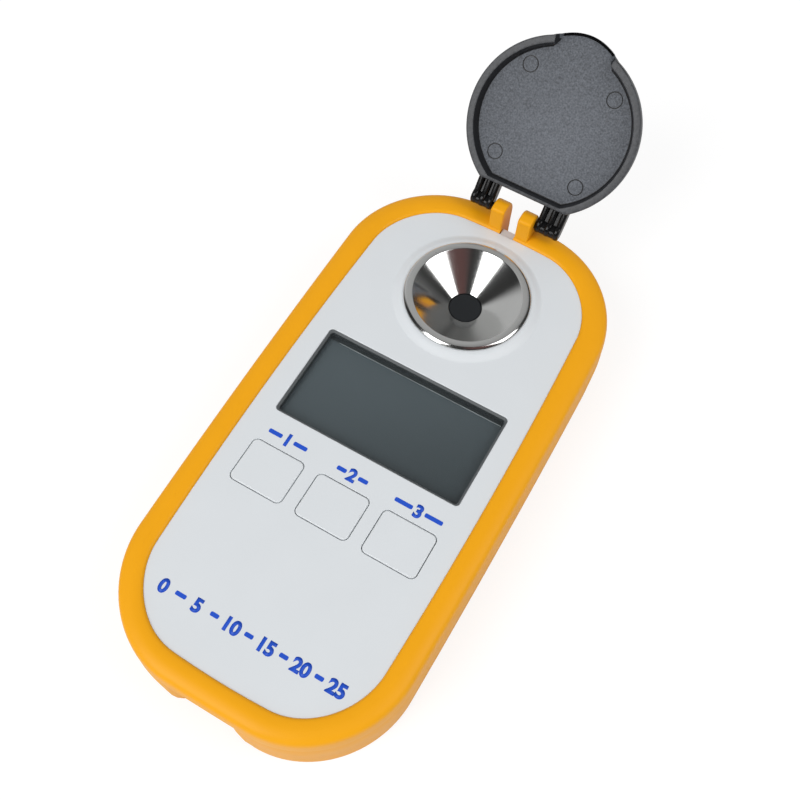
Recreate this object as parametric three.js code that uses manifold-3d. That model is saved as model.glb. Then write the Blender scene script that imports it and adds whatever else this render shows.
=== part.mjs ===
// A pocket digital refractometer with its lid open: an orange case of tray and rim, a white face with a
// display and three keys, a steel sample well with its prism, a hinged black lid, and the optics, board and
// battery inside. Millimetres, +Z up. The origin is on the flat underside, below the middle of the case;
// +Y points to the hinge and +X to the right of someone who reads the display.

import * as THREE from "three";
import { mergeVertices } from "three/addons/utils/BufferGeometryUtils.js";
import Module from "manifold-3d";

const wasm = await Module();
wasm.setup();

// Driving dimensions of the case
const caseHalfWidth = 30;
const caseHalfLength = 58.9;
const caseCornerRadius = 22;
const rimWidth = 5.6;
const rimEndWidth = 5.5;
const rimHeight = 4.3;
const wall = 2;
const floorThickness = 2.4;
const caseSideBowShare = 0.05;
const caseEndBowShare = 0.005;

// Clearances: of pieces that are cut to fit, of flat seats, of sliding pieces, and of turning ones
const clearance = 0.3;
const seatGap = 0.1;
const slideGap = 0.2;
const turningGap = 0.1;
const overrun = 1;

// Smoothness of round forms
const cornerSteps = 10;
const sideSteps = 4;
const endSteps = 5;
const roundSteps = 18;
const wellSteps = 40;
const sealSides = 6;
const lidSteps = 54;

// White panel in the orange rim
const panelCornerStep = 8;
const panelShift = -0.5;
const panelSideBowShare = 0.06;
const panelEndBowShare = 0.03;
const panelThickness = 2;
const panelGap = 0.12;
const tongueGap = 0.15;
const tongueReach = 1.8;
const tongueDrop = 0.35;

// Orange rim: how far its crest stands over the face, and the groove of the seam under it
const rimCrest = 0.65;
const seamGap = 0.2;
const rimBottomGrooveShare = 0.08;
const spigotDepth = 2;
const spigotThickness = 1;
const notchDrop = 0.7;
// Profile of the rim from its outer edge to the panel: share of the way in, and share of the height
const rimProfileShares = [
  [0, 0.22],
  [0.015, 0.42],
  [0.06, 0.63],
  [0.15, 0.82],
  [0.31, 0.95],
  [0.56, 1],
  [0.84, 0.98],
];
const rimLipShare = 0.93;

// Tray: how far its wall draws in towards the bottom, its rounded bottom edge as shares of the radius, and
// the scoop at the bottom end
const trayTaper = 0.5;
const trayEdgeRadius = 2;
const trayEdgeShares = [
  [1, 0],
  [0.5, 0.13],
  [0.13, 0.5],
  [0, 1],
];
const scoopWidth = 21;
const scoopDepth = 2.6;

// Display, with its distance from the well's collar and from the sides of the panel
const windowToCollar = 4.25;
const windowSideMargin = 4.4;
const windowHeight = 20.9;
const windowCornerRadius = 0.8;
const windowDrop = 0.8;
const windowThickness = 1.1;
const lcdSideBorder = 0.5;
const lcdEndBorder = 1.05;
const lcdThickness = 1.6;
const lcdFrameWall = 1.1;
const lcdFrameToRim = 0.4;
const contactWidth = 1.8;
const contactInset = 0.6;

// Keys, in one row under the display window
const keyCount = 3;
const keyRowInset = 0.3;
const keySpacing = 3.05;
const keyRowToWindow = 6.95;
const keyHeight = 9.2;
const keyCornerRadius = 1.1;
const keyProud = 0.1;
const keyFlangeEdge = 1;
const keyFlangeThickness = 0.8;
const keyTravel = 0.5;
const keyRoom = 0.4;
const keyBevel = 0.25;
const switchSide = 6;
const switchHeight = 1.6;
const plungerRadius = 1.7;
const plungerSink = 0.6;

// Main board with its chip and its screws
const boardSideMargin = 1.7;
const boardBelowKeys = 10.1;
const boardToOptics = 1;
const boardToCase = 0.9;
const boardThickness = 1;
const boardCornerRadius = 1.5;
const chipSide = 8;
const chipHeight = 1.4;
const chipToKeys = 1.4;
const boardScrewInset = 3.8;
const boardScrewToKeys = 1;
const boardPostRadius = 2.1;
const boardScrewShaftRadius = 0.8;
const boardScrewHeadRadius = 1.8;
const boardScrewHeadHeight = 0.8;
const boardScrewLength = 6;
const boardPegInset = 3.1;
const boardPegFromEnd = 5.9;

// Steel sample well
const wellOuterRadius = 12.9;
const wellRingWidth = 1.7;
const wellWindowRadius = 3.5;
const wellProud = 1.4;
const wellDepth = 5.3;
const wellChamfer = 0.25;
const wellFlangeWidth = 1.5;
const wellFlangeThickness = 0.6;
const wellFlangeDrop = 1;
const wellHubWidth = 1.9;
const wellHubThickness = 0.9;
const wellReliefWidth = 3.9;
const collarGap = 1.1;
const collarWidth = 2;
const collarRise = 0.5;
const collarMiddleShare = 0.7;
const sealThickness = 0.8;

// Prism and what it sees
const prismHalfLength = 6;
const prismFootHalfLength = 3.2;
const prismHeight = 4.7;
const prismHalfWidth = 4.5;
const prismSink = 0.1;
const opticsHalfWidth = 8;
const opticsWall = 3.2;
const beamBoreRadius = 2.6;
const beamLength = 8.3;
const lensDistance = 3;
const lensThickness = 1.6;
const lensEdge = 0.6;
// Front of the lens: share of its radius, and share of its bulge
const lensShares = [
  [1, 0],
  [0.75, 0.6],
  [0.4, 0.9],
  [0, 1],
];
const beamBoardLength = 9.6;
const beamBoardWidth = 12;
const beamBoardThickness = 1;
const lampRadius = 1.5;
// Dome of the lamp: share of its radius out, and share of its radius down from the tip
const lampDomeShares = [
  [0, 0],
  [0.7, 0.3],
  [1, 1],
];
const lampFlangeRadius = 1.9;
const lampFlangeThickness = 0.6;
const lampLength = 3.4;
const sensorLength = 4;
const sensorWidth = 3;
const sensorThickness = 1.2;
const thermistorRadius = 0.65;
const thermistorLength = 3;
const thermistorX = 4.5;
const thermistorY = 10.3;
const thermistorCapSteps = 4;
const thermistorSteps = 12;

// Battery, its contacts, its bay and its sliding door
const batteryRadius = 5.25;
const batteryLength = 44.5;
const batteryFromEnd = 8.3;
const batterySeat = 0.15;
const batteryToBoard = 0.25;
const batteryCapRadius = 1.9;
const batteryCapHeight = 0.9;
const batteryEdge = 0.5;
const contactPlateThickness = 0.4;
const contactPlateHalfWidth = 4;
const springWireRadius = 0.28;
const springRadius = 3.1;
const springEndRadius = 2.1;
const springTurns = 3;
const springStepsPerTurn = 10;
const springSides = 6;
const springLength = 2.9;
const bayWall = 1.4;
const bayEndGap = 0.3;
const baySideGap = 0.75;
const bayFlange = 1;
const bayFlangeReach = 3;
const doorSideMargin = 0.5;
const doorRail = 1.1;
const doorRailThickness = 1;
const doorThickness = 2.1;
const doorHead = 0.2;
const doorGripCount = 5;
const doorGripPitch = 1.6;
const doorGripDepth = 0.5;
const doorGripWidth = 0.8;
const doorGripHalfLength = 4.2;
const doorGripFromEnd = 3;
const doorSetback = 0.8;

// Case screws
const screwSideInset = 11.5;
const screwEndInset = 11.6;
const screwShaftRadius = 1.2;
const screwHeadRadius = 2.4;
const screwHeadHeight = 1.7;
const screwLength = 10.5;
const bossRadius = 4;
const rimBossRadius = 2.8;
const bossHeight = 6.8;
const screwSeatHeight = 3;
// Rounded edge of a screw's head: share of its radius, and share of its height
const screwHeadShares = [0.8, 0.6];

// Hinge: its axis, the lugs of the rim with an upright front and a domed back, and the steel pins
const hingeFromEnd = 2.5;
const hingeRise = 3.3;
const lugInner = 1.6;
const lugWidth = 3;
const lugFront = 3.1;
const lugBack = 2.4;
const lugTop = 3.1;
const lugCornerRadius = 0.5;
const lugDomeFromFront = 1.7;
const lugDomeDrop = 5;
const pinRadius = 0.7;
const pinEndWall = 1;
const armGap = 0.6;
const armWidth = 5;
const pinInset = 0.6;

// Slot between the lugs, open through the end of the case: the wall round it, and its depth under the face
const slotWall = 1.4;
const slotDepth = 10.5;

// Lid, drawn closed about the hinge axis; it is stored open by this angle
const lidOpenDegrees = 131.1;
const lidSetback = 1.53;
const lidOverhang = 1.77;
const lidChordCut = 2.97;
const lidWall = 1.8;
const lidChordWall = 0.9;
const lidDepth = 2;
const lidRimGap = 0.54;
const lidCrown = 2.2;
const lidTabLength = 1.75;
const lidTabHalfWidth = 6;
const lidTabFullness = 1.3;
const lidTabSlotHalfWidth = 5.5;
const lidEdgeRadius = 1.2;
// Outer skin of the lid from its edge to its middle: share of the edge radius in, share of the crown up
const lidSkinShares = [
  [0, 0.3],
  [0.15, 0.5],
  [0.45, 0.66],
  [1, 0.74],
];
const lidDomeShares = [
  [0.35, 0.87],
  [0.65, 0.97],
  [0.97, 1],
];
// Arms of the lid, with a round end whose middle stands off the axis
const knuckleRadius = 1.75;
const knuckleY = -0.45;
const knuckleZ = 0.2;
const armReach = 4.87;
const armThickness = 3.4;
const armUnderside = 1.5;
const armGrooveWidth = 1;
const armGrooveDepth = 1;
const armGrooveCount = 2;

// Colours and finishes
const finishes = {
  orange: { color: 0xf0a41e, roughness: 0.45, metalness: 0 },
  white: { color: 0xdadddf, roughness: 0.5, metalness: 0 },
  black: { color: 0x1c1d1f, roughness: 0.5, metalness: 0 },
  steel: { color: 0xb9bbbd, roughness: 0.2, metalness: 1 },
  glass: { color: 0x4a5052, roughness: 0.1, metalness: 0 },
  prism: { color: 0x14181a, roughness: 0.05, metalness: 0 },
  board: { color: 0x1f6b3a, roughness: 0.6, metalness: 0 },
  rubber: { color: 0x26282a, roughness: 0.8, metalness: 0 },
  brass: { color: 0xb9973f, roughness: 0.35, metalness: 1 },
  lamp: { color: 0xf2e7b0, roughness: 0.2, metalness: 0 },
  battery: { color: 0x3d6aa8, roughness: 0.4, metalness: 0.3 },
};

// Heights that the pieces share: the battery, the board, the switches and the keys stack up to the face
const batteryHeight = doorThickness + batterySeat + batteryRadius;
const boardBottom = batteryHeight + batteryRadius + batteryToBoard;
const boardTop = boardBottom + boardThickness;
const switchBottom = boardTop + seatGap;
const switchTop = switchBottom + switchHeight;
const flangeBottom = switchTop + keyTravel + keyRoom;
const flangeTop = flangeBottom + keyFlangeThickness;
const panelBottom = flangeTop + seatGap;
const faceHeight = panelBottom + panelThickness;
const seamHeight = faceHeight - rimHeight;
const ledgeTop = panelBottom - seatGap;
const rimTop = faceHeight + rimCrest;
const traySeam = seamHeight - seamGap;
const lcdTop = panelBottom - slideGap;
const lcdBottom = lcdTop - lcdThickness;
const wellTop = faceHeight + wellProud;
const wellWindowHeight = wellTop - wellDepth;
const wellFlangeTop = panelBottom - wellFlangeDrop;
const wellFlangeBottom = wellFlangeTop - wellFlangeThickness;
const hubBottom = wellWindowHeight - wellHubThickness;
const prismTop = hubBottom - slideGap;
const prismBottom = prismTop - prismHeight;
const opticsTop = prismTop - slideGap;
const opticsBottom = floorThickness + clearance;
const hingeHeight = faceHeight + hingeRise;

// Places along the case, from the hinge down: the lid sets the place of the well, then the display and keys
const wellMouthRadius = wellOuterRadius - wellRingWidth;
const wellFlangeRadius = wellOuterRadius + wellFlangeWidth;
const wellHubRadius = wellWindowRadius + wellHubWidth;
const wellReliefRadius = wellOuterRadius - wellReliefWidth;
const collarTopRadius = wellOuterRadius + collarGap;
const collarFootRadius = collarTopRadius + collarWidth;
const lidRadius = collarFootRadius + lidOverhang;
const lidChord = lidRadius - lidChordCut;
const hingeY = caseHalfLength - hingeFromEnd;
const wellCentreY = hingeY - armReach - lidChord - lidSetback;
const displayCentreY = wellCentreY - collarFootRadius - windowToCollar - windowHeight / 2;
const keyRowY = displayCentreY - windowHeight / 2 - keyRowToWindow - keyHeight / 2;
const batteryTopY = batteryFromEnd + batteryLength - caseHalfLength;
const screwY = caseHalfLength - screwEndInset;

// Places across the case: the panel in the rim, the window in the panel, and the keys as wide as the window
const panelHalfWidth = caseHalfWidth - rimWidth;
const panelHalfLength = caseHalfLength - rimEndWidth;
const panelCornerRadius = caseCornerRadius - panelCornerStep;
const panelLedge = windowSideMargin - lcdSideBorder - clearance - lcdFrameWall - lcdFrameToRim;
const windowWidth = 2 * (panelHalfWidth - windowSideMargin);
const keyWidth = (windowWidth - 2 * keyRowInset - (keyCount - 1) * keySpacing) / keyCount;
const keyPitch = keyWidth + keySpacing;
const lcdWidth = windowWidth + 2 * lcdSideBorder;
const lcdHeight = windowHeight + 2 * lcdEndBorder;
const screwX = caseHalfWidth - screwSideInset;
const lugOuter = lugInner + lugWidth;
const slotY = panelShift + panelHalfLength + tongueReach;

// The two beams leave the slanted faces of the prism squarely, and the block's ends are square to them
const faceMiddleY = (prismHalfLength + prismFootHalfLength) / 2;
const faceMiddleZ = (prismTop + prismBottom) / 2;
const beamAngle = Math.atan2(prismHalfLength - prismFootHalfLength, prismHeight);
const beamEndY = faceMiddleY + beamLength * Math.cos(beamAngle);
const beamEndZ = faceMiddleZ - beamLength * Math.sin(beamAngle);
const opticsFootHalfLength = beamEndY - (beamEndZ - opticsBottom) * Math.tan(beamAngle);
const opticsHalfLength = opticsFootHalfLength + (opticsTop - opticsBottom) * Math.tan(beamAngle);

// Places of the board, between the optics and the space under the keys
const boardHalfWidth = lcdWidth / 2 + clearance + lcdFrameWall + boardSideMargin;
const boardHigh = wellCentreY - opticsHalfLength - boardToOptics;
const boardLow = keyRowY - keyHeight / 2 - boardBelowKeys;
const boardScrewX = boardHalfWidth - boardScrewInset;
const boardScrewY = keyRowY + keyHeight / 2 + boardScrewToKeys;
const boardPegX = boardHalfWidth - boardPegInset;
const boardPegY = boardHigh - boardPegFromEnd;

// A solid of manifold-3d from a closed three.js geometry
function solid(geometry) {
  const bare = geometry.clone();
  bare.deleteAttribute("normal");
  bare.deleteAttribute("uv");
  const merged = mergeVertices(bare);
  return new wasm.Manifold(
    new wasm.Mesh({
      numProp: 3,
      vertProperties: new Float32Array(merged.attributes.position.array),
      triVerts: new Uint32Array(merged.index.array),
    }),
  );
}

// A three.js geometry from a solid
function geometryOf(made) {
  const raw = made.getMesh();
  const geometry = new THREE.BufferGeometry();
  geometry.setAttribute("position", new THREE.BufferAttribute(raw.vertProperties, 3));
  geometry.setIndex(new THREE.BufferAttribute(raw.triVerts, 1));
  geometry.computeVertexNormals();
  return geometry;
}

// A named mesh of one piece, from a solid or a geometry
function piece(name, shape, finish) {
  const geometry = shape.isBufferGeometry ? shape : geometryOf(shape);
  const mesh = new THREE.Mesh(geometry, new THREE.MeshStandardMaterial(finishes[finish]));
  mesh.name = name;
  return mesh;
}

// A box between two corners
function box(low, high) {
  const size = high.map((value, axis) => value - low[axis]);
  const geometry = new THREE.BoxGeometry(...size);
  geometry.translate(...low.map((value, axis) => (value + high[axis]) / 2));
  return solid(geometry);
}

// An upright cylinder between two heights
function rod(radius, low, high, x = 0, y = 0, steps = roundSteps) {
  const geometry = new THREE.CylinderGeometry(radius, radius, high - low, steps);
  geometry.rotateX(Math.PI / 2);
  geometry.translate(x, y, (low + high) / 2);
  return solid(geometry);
}

// A cylinder along X between two places
function rodAlongX(radius, low, high, y = 0, z = 0) {
  const geometry = new THREE.CylinderGeometry(radius, radius, high - low, roundSteps);
  geometry.rotateZ(Math.PI / 2);
  geometry.translate((low + high) / 2, y, z);
  return solid(geometry);
}

// A turned piece about Z, from a closed profile of radius and height
function turned(profile, steps = roundSteps) {
  const geometry = new THREE.LatheGeometry(
    profile.map(([radius, height]) => new THREE.Vector2(radius, height)),
    steps,
  );
  geometry.rotateX(Math.PI / 2);
  return geometry;
}

// A plate of an outline drawn in X and Y, between two heights
function plate(shape, low, high) {
  const geometry = new THREE.ExtrudeGeometry(shape, {
    depth: high - low,
    bevelEnabled: false,
    curveSegments: 4,
  });
  geometry.translate(0, 0, low);
  return geometry;
}

// A bar of a profile drawn in Y and Z, between two places along X
function bar(shape, low, high) {
  const geometry = new THREE.ExtrudeGeometry(shape, {
    depth: high - low,
    bevelEnabled: false,
    curveSegments: 10,
  });
  geometry.translate(0, 0, low);
  const turn = new THREE.Matrix4().makeBasis(
    new THREE.Vector3(0, 1, 0),
    new THREE.Vector3(0, 0, 1),
    new THREE.Vector3(1, 0, 0),
  );
  geometry.applyMatrix4(turn);
  return geometry;
}

// A rectangle with round corners, as an outline
function roundedRectangle(width, height, radius, x = 0, y = 0) {
  const halfWidth = width / 2;
  const halfHeight = height / 2;
  const shape = new THREE.Shape();
  shape.absarc(x + halfWidth - radius, y + halfHeight - radius, radius, 0, Math.PI / 2);
  shape.absarc(x - halfWidth + radius, y + halfHeight - radius, radius, Math.PI / 2, Math.PI);
  shape.absarc(x - halfWidth + radius, y - halfHeight + radius, radius, Math.PI, 1.5 * Math.PI);
  shape.absarc(x + halfWidth - radius, y - halfHeight + radius, radius, 1.5 * Math.PI, 2 * Math.PI);
  return shape;
}

// A closed loop of points: a rectangle with round corners whose long sides and ends bow outwards.
// One quarter is made and mirrored, so that every loop has its points in the same order.
function bowedLoop(halfWidth, halfLength, radius, sideBow, endBow, shift) {
  const quarter = [];
  for (let step = 0; step < sideSteps; step += 1) {
    quarter.push([halfWidth, ((halfLength - radius) * step) / sideSteps]);
  }
  for (let step = 0; step <= cornerSteps; step += 1) {
    const angle = (Math.PI / 2) * (step / cornerSteps);
    quarter.push([
      halfWidth - radius + radius * Math.cos(angle),
      halfLength - radius + radius * Math.sin(angle),
    ]);
  }
  for (let step = 1; step <= endSteps; step += 1) {
    quarter.push([(halfWidth - radius) * (1 - step / endSteps), halfLength]);
  }
  const bowed = quarter.map(([x, y]) => [
    x * (1 - sideBow * (y / halfLength) ** 2),
    y * (1 - endBow * (x / halfWidth) ** 2),
  ]);
  const left = bowed.slice(0, -1).reverse().map(([x, y]) => [-x, y]);
  const upper = [...bowed, ...left];
  const lower = upper.slice(1, -1).reverse().map(([x, y]) => [x, -y]);
  return [...upper, ...lower].map(([x, y]) => new THREE.Vector2(x, y + shift));
}

// The outline of the case, moved inwards by a distance
function caseLoop(inset) {
  return bowedLoop(
    caseHalfWidth - inset,
    caseHalfLength - inset,
    caseCornerRadius - inset,
    caseSideBowShare,
    caseEndBowShare,
    0,
  );
}

// The outline of the panel, moved inwards by a distance
function panelLoop(inset) {
  return bowedLoop(
    panelHalfWidth - inset,
    panelHalfLength - inset,
    panelCornerRadius - inset,
    panelSideBowShare,
    panelEndBowShare,
    panelShift,
  );
}

// Faces between two rings of equally many vertices
function bandBetween(count, ring, following) {
  const faces = [];
  for (let step = 0; step < count; step += 1) {
    const after = (step + 1) % count;
    const here = ring * count;
    const there = following * count;
    faces.push(here + step, here + after, there + after);
    faces.push(here + step, there + after, there + step);
  }
  return faces;
}

// A closed solid through loops of equally many points, each at its height, from the lowest to the highest
function loft(sections) {
  const count = sections[0].loop.length;
  const positions = sections.flatMap(({ loop, z }) => loop.flatMap((point) => [point.x, point.y, z]));
  const index = [];
  for (let ring = 0; ring + 1 < sections.length; ring += 1) {
    index.push(...bandBetween(count, ring, ring + 1));
  }
  const last = (sections.length - 1) * count;
  for (const [a, b, c] of THREE.ShapeUtils.triangulateShape(sections[0].loop, [])) {
    index.push(a, c, b);
  }
  for (const [a, b, c] of THREE.ShapeUtils.triangulateShape(sections.at(-1).loop, [])) {
    index.push(last + a, last + b, last + c);
  }
  const geometry = new THREE.BufferGeometry();
  geometry.setAttribute("position", new THREE.Float32BufferAttribute(positions, 3));
  geometry.setIndex(index);
  return solid(geometry);
}

// A closed ring through loops of equally many points, in order round its section
function ringLoft(sections) {
  const count = sections[0].loop.length;
  const positions = sections.flatMap(({ loop, z }) => loop.flatMap((point) => [point.x, point.y, z]));
  const geometry = new THREE.BufferGeometry();
  geometry.setAttribute("position", new THREE.Float32BufferAttribute(positions, 3));
  geometry.setIndex(sections.flatMap((_, ring) => bandBetween(count, ring, (ring + 1) % sections.length)));
  return solid(geometry);
}

// The space within one loop between two heights
function prismOf(loop, low, high) {
  return loft([
    { loop, z: low },
    { loop, z: high },
  ]);
}

// Joins, and cuts, of several solids at once
function join(first, ...others) {
  return others.reduce((made, other) => made.add(other), first);
}
function cut(first, ...others) {
  return others.reduce((made, other) => made.subtract(other), first);
}

const sides = [
  { name: "left", sign: -1 },
  { name: "right", sign: 1 },
];
const screwPlaces = sides.flatMap(({ sign }) => [
  [sign * screwX, screwY],
  [sign * screwX, -screwY],
]);

// A loop of the tray: the outline of the case, drawn in at the bottom end by a smooth wave for the scoop
function trayLoop(inset) {
  return caseLoop(inset).map((point) => {
    const across = Math.min(Math.abs(point.x) / (scoopWidth / 2), 1);
    const wave = (1 + Math.cos(Math.PI * across)) / 2;
    return new THREE.Vector2(point.x, point.y < 0 ? point.y + scoopDepth * wave : point.y);
  });
}

// How far the wall of the tray has drawn in at a height
const trayDraw = (z) => trayTaper * (1 - z / traySeam);

// The outer form of the tray, with its rounded bottom edge and its scoop
function trayOuter() {
  const edge = trayEdgeShares.map(([inward, upward]) => ({
    loop: trayLoop(inward * trayEdgeRadius + trayDraw(upward * trayEdgeRadius)),
    z: upward * trayEdgeRadius,
  }));
  return loft([...edge, { loop: trayLoop(0), z: traySeam }]);
}

// Places of the battery bay along Y
const bayTop = batteryTopY + batteryCapHeight + contactPlateThickness + bayEndGap;
const bayBottom = batteryTopY - batteryLength - springLength - contactPlateThickness - bayEndGap;
const bayInner = batteryRadius + baySideGap;
const doorTop = bayTop + bayWall + doorHead;
const doorHalfWidth = bayInner + doorSideMargin;

// The space of the door, grown by a gap: a plate with two wider rails along it
function doorSpace(grow, end) {
  const lower = box(
    [-doorHalfWidth - grow, end, grow ? -overrun : 0],
    [doorHalfWidth + grow, doorTop + grow, doorThickness - doorRailThickness + grow],
  );
  const upper = box(
    [-doorHalfWidth - doorRail - grow, end, doorThickness - doorRailThickness - grow],
    [doorHalfWidth + doorRail + grow, doorTop + grow, doorThickness + grow],
  );
  return lower.add(upper);
}

function rearCase() {
  const cavityEdge = floorThickness + trayEdgeRadius / 2;
  const cavity = loft([
    { loop: trayLoop(wall + trayEdgeRadius / 2 + trayDraw(floorThickness)), z: floorThickness },
    { loop: trayLoop(wall + trayDraw(cavityEdge)), z: cavityEdge },
    { loop: trayLoop(wall), z: traySeam + overrun },
  ]);
  let tray = cut(trayOuter(), cavity);

  // Bosses of the case screws, posts of the board and pegs under it
  for (const [x, y] of screwPlaces) {
    tray = tray.add(rod(bossRadius, floorThickness / 2, bossHeight, x, y));
  }
  const postTop = boardBottom - seatGap;
  for (const { sign } of sides) {
    tray = tray.add(rod(boardPostRadius, floorThickness / 2, postTop, sign * boardScrewX, boardScrewY));
    tray = tray.add(rod(boardPostRadius, floorThickness / 2, postTop, sign * boardPegX, boardPegY));
  }

  // Battery bay: two side walls on flanges that hold the door's rails down, and two end walls
  const bayWallTop = boardBottom - clearance;
  for (const { sign } of sides) {
    const nearX = sign * bayInner;
    const wallX = sign * (bayInner + bayWall);
    const flangeX = sign * (bayInner + bayFlangeReach);
    tray = tray.add(
      box(
        [Math.min(nearX, flangeX), bayBottom - bayWall, floorThickness / 2],
        [Math.max(nearX, flangeX), bayTop + bayWall, floorThickness + bayFlange],
      ),
    );
    tray = tray.add(
      box(
        [Math.min(nearX, wallX), bayBottom - bayWall, floorThickness],
        [Math.max(nearX, wallX), bayTop + bayWall, bayWallTop],
      ),
    );
  }
  const endWall = (low, high) => box([-bayInner, low, floorThickness / 2], [bayInner, high, bayWallTop]);
  tray = join(tray, endWall(bayTop, bayTop + bayWall), endWall(bayBottom - bayWall, bayBottom));

  // The way of the door, open at the bottom end, and the mouth of the bay over it
  tray = tray.subtract(doorSpace(clearance, -caseHalfLength - overrun));
  tray = tray.subtract(box([-bayInner, bayBottom, 0], [bayInner, bayTop, floorThickness + bayFlange]));

  // Slot between the hinge lugs, with a wall round it
  const slotFoot = faceHeight - slotDepth;
  tray = tray.add(
    box(
      [-lugInner - slotWall, slotY - slotWall, slotFoot - slotWall],
      [lugInner + slotWall, caseHalfLength - wall / 2, traySeam],
    ),
  );
  tray = tray.subtract(
    box([-lugInner, slotY, slotFoot], [lugInner, caseHalfLength + overrun, traySeam + overrun]),
  );

  // Holes of the screws
  for (const [x, y] of screwPlaces) {
    tray = tray.subtract(rod(screwHeadRadius + clearance, -overrun, screwSeatHeight, x, y));
    tray = tray.subtract(rod(screwShaftRadius + clearance, 0, bossHeight + overrun, x, y));
  }
  for (const { sign } of sides) {
    const hole = rod(
      boardScrewShaftRadius + seatGap,
      boardTop - boardScrewLength - overrun,
      boardTop,
      sign * boardScrewX,
      boardScrewY,
    );
    tray = tray.subtract(hole);
  }
  return tray;
}

// The rim: loops that pass from the case's outline to the panel's, at the heights of the rim's profile
function rimFrame() {
  const outer = caseLoop(0);
  const inner = panelLoop(0);
  const between = (share) => outer.map((point, step) => point.clone().lerp(inner[step], share));
  const rise = rimTop - seamHeight;
  const crown = rimProfileShares.map(([inward, upward]) => ({
    loop: between(inward),
    z: seamHeight + upward * rise,
  }));
  const spigotFoot = seamHeight - spigotDepth;
  const spigotOuter = trayLoop(wall + clearance);
  const spigotInner = trayLoop(wall + clearance + spigotThickness);

  // Up the outside, over the crest, down to the ledge, under it, and round the spigot in the tray
  let rim = ringLoft([
    { loop: between(rimBottomGrooveShare), z: seamHeight },
    ...crown,
    { loop: panelLoop(-panelGap), z: seamHeight + rimLipShare * rise },
    { loop: panelLoop(-panelGap), z: ledgeTop },
    { loop: panelLoop(panelLedge), z: ledgeTop },
    { loop: panelLoop(panelLedge), z: seamHeight },
    { loop: spigotInner, z: seamHeight },
    { loop: spigotInner, z: spigotFoot },
    { loop: spigotOuter, z: spigotFoot },
    { loop: spigotOuter, z: seamHeight },
  ]);

  // Bosses that the case screws bite into
  for (const [x, y] of screwPlaces) {
    rim = rim.add(rod(rimBossRadius, bossHeight + seatGap, ledgeTop, x, y));
  }
  for (const [x, y] of screwPlaces) {
    const tip = screwSeatHeight + screwLength;
    rim = rim.subtract(rod(screwShaftRadius + seatGap, bossHeight, tip, x, y));
  }

  // Between the lugs, a notch for the tongue of the panel and the slot behind it; the spigot leaves room
  // for the wall round the slot
  rim = rim.subtract(
    box(
      [-lugInner, slotY - tongueReach - overrun, faceHeight - notchDrop],
      [lugInner, slotY, rimTop + overrun],
    ),
  );
  rim = rim.subtract(
    box([-lugInner, slotY, spigotFoot - overrun], [lugInner, caseHalfLength + overrun, rimTop + overrun]),
  );
  const slotRoom = lugInner + slotWall + clearance;
  rim = rim.subtract(
    box(
      [-slotRoom, slotY - slotWall - clearance, spigotFoot - overrun],
      [slotRoom, caseHalfLength + overrun, seamHeight],
    ),
  );

  // Lugs, bored from outside for the pins: an upright front, a rounded corner, a short flat top and a dome
  // that falls to the back
  const lug = new THREE.Shape();
  const lugFrontY = hingeY - lugFront;
  const lugBackY = hingeY + lugBack;
  const domeY = lugFrontY + lugDomeFromFront;
  const lugTopZ = hingeHeight + lugTop;
  lug.moveTo(lugFrontY, ledgeTop);
  lug.lineTo(lugBackY, seamHeight + rise / 2);
  lug.absellipse(domeY, lugTopZ - lugDomeDrop, lugBackY - domeY, lugDomeDrop, 0, Math.PI / 2);
  const cornerY = lugFrontY + lugCornerRadius;
  lug.absarc(cornerY, lugTopZ - lugCornerRadius, lugCornerRadius, Math.PI / 2, Math.PI);
  for (const { sign } of sides) {
    const low = Math.min(sign * lugInner, sign * lugOuter);
    const high = Math.max(sign * lugInner, sign * lugOuter);
    const boreLow = Math.min(sign * (lugInner + pinEndWall), sign * (lugOuter + overrun));
    const boreHigh = Math.max(sign * (lugInner + pinEndWall), sign * (lugOuter + overrun));
    rim = rim.add(solid(bar(lug, low, high)));
    rim = rim.subtract(rodAlongX(pinRadius + turningGap, boreLow, boreHigh, hingeY, hingeHeight));
  }
  return rim;
}

// Places of the three keys along X
const keys = [
  { name: "left", x: -keyPitch },
  { name: "middle", x: 0 },
  { name: "right", x: keyPitch },
];

function frontPanel() {
  let panel = prismOf(panelLoop(0), panelBottom, faceHeight);

  // Collar round the well, sloping down to the face
  const collar = turned(
    [
      [0, faceHeight - panelThickness / 2],
      [collarFootRadius, faceHeight - panelThickness / 2],
      [collarFootRadius, faceHeight],
      [(collarFootRadius + collarTopRadius) / 2, faceHeight + collarMiddleShare * collarRise],
      [collarTopRadius, faceHeight + collarRise],
      [0, faceHeight + collarRise],
    ],
    wellSteps,
  );
  collar.translate(0, wellCentreY, 0);
  panel = panel.add(solid(collar));

  // Tongue into the notch between the hinge lugs
  panel = panel.add(
    box(
      [tongueGap - lugInner, slotY - tongueReach - overrun, faceHeight - notchDrop + seatGap],
      [lugInner - tongueGap, slotY, faceHeight - tongueDrop],
    ),
  );

  const wellHole = rod(
    wellOuterRadius + slideGap,
    panelBottom - overrun,
    faceHeight + overrun,
    0,
    wellCentreY,
    wellSteps,
  );
  panel = panel.subtract(wellHole);
  const windowHole = plate(
    roundedRectangle(windowWidth, windowHeight, windowCornerRadius, 0, displayCentreY),
    panelBottom - overrun,
    faceHeight + overrun,
  );
  panel = panel.subtract(solid(windowHole));
  for (const { x } of keys) {
    const hole = plate(
      roundedRectangle(
        keyWidth + 2 * slideGap,
        keyHeight + 2 * slideGap,
        keyCornerRadius + slideGap,
        x,
        keyRowY,
      ),
      panelBottom - overrun,
      faceHeight + overrun,
    );
    panel = panel.subtract(solid(hole));
  }
  return panel;
}

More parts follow.
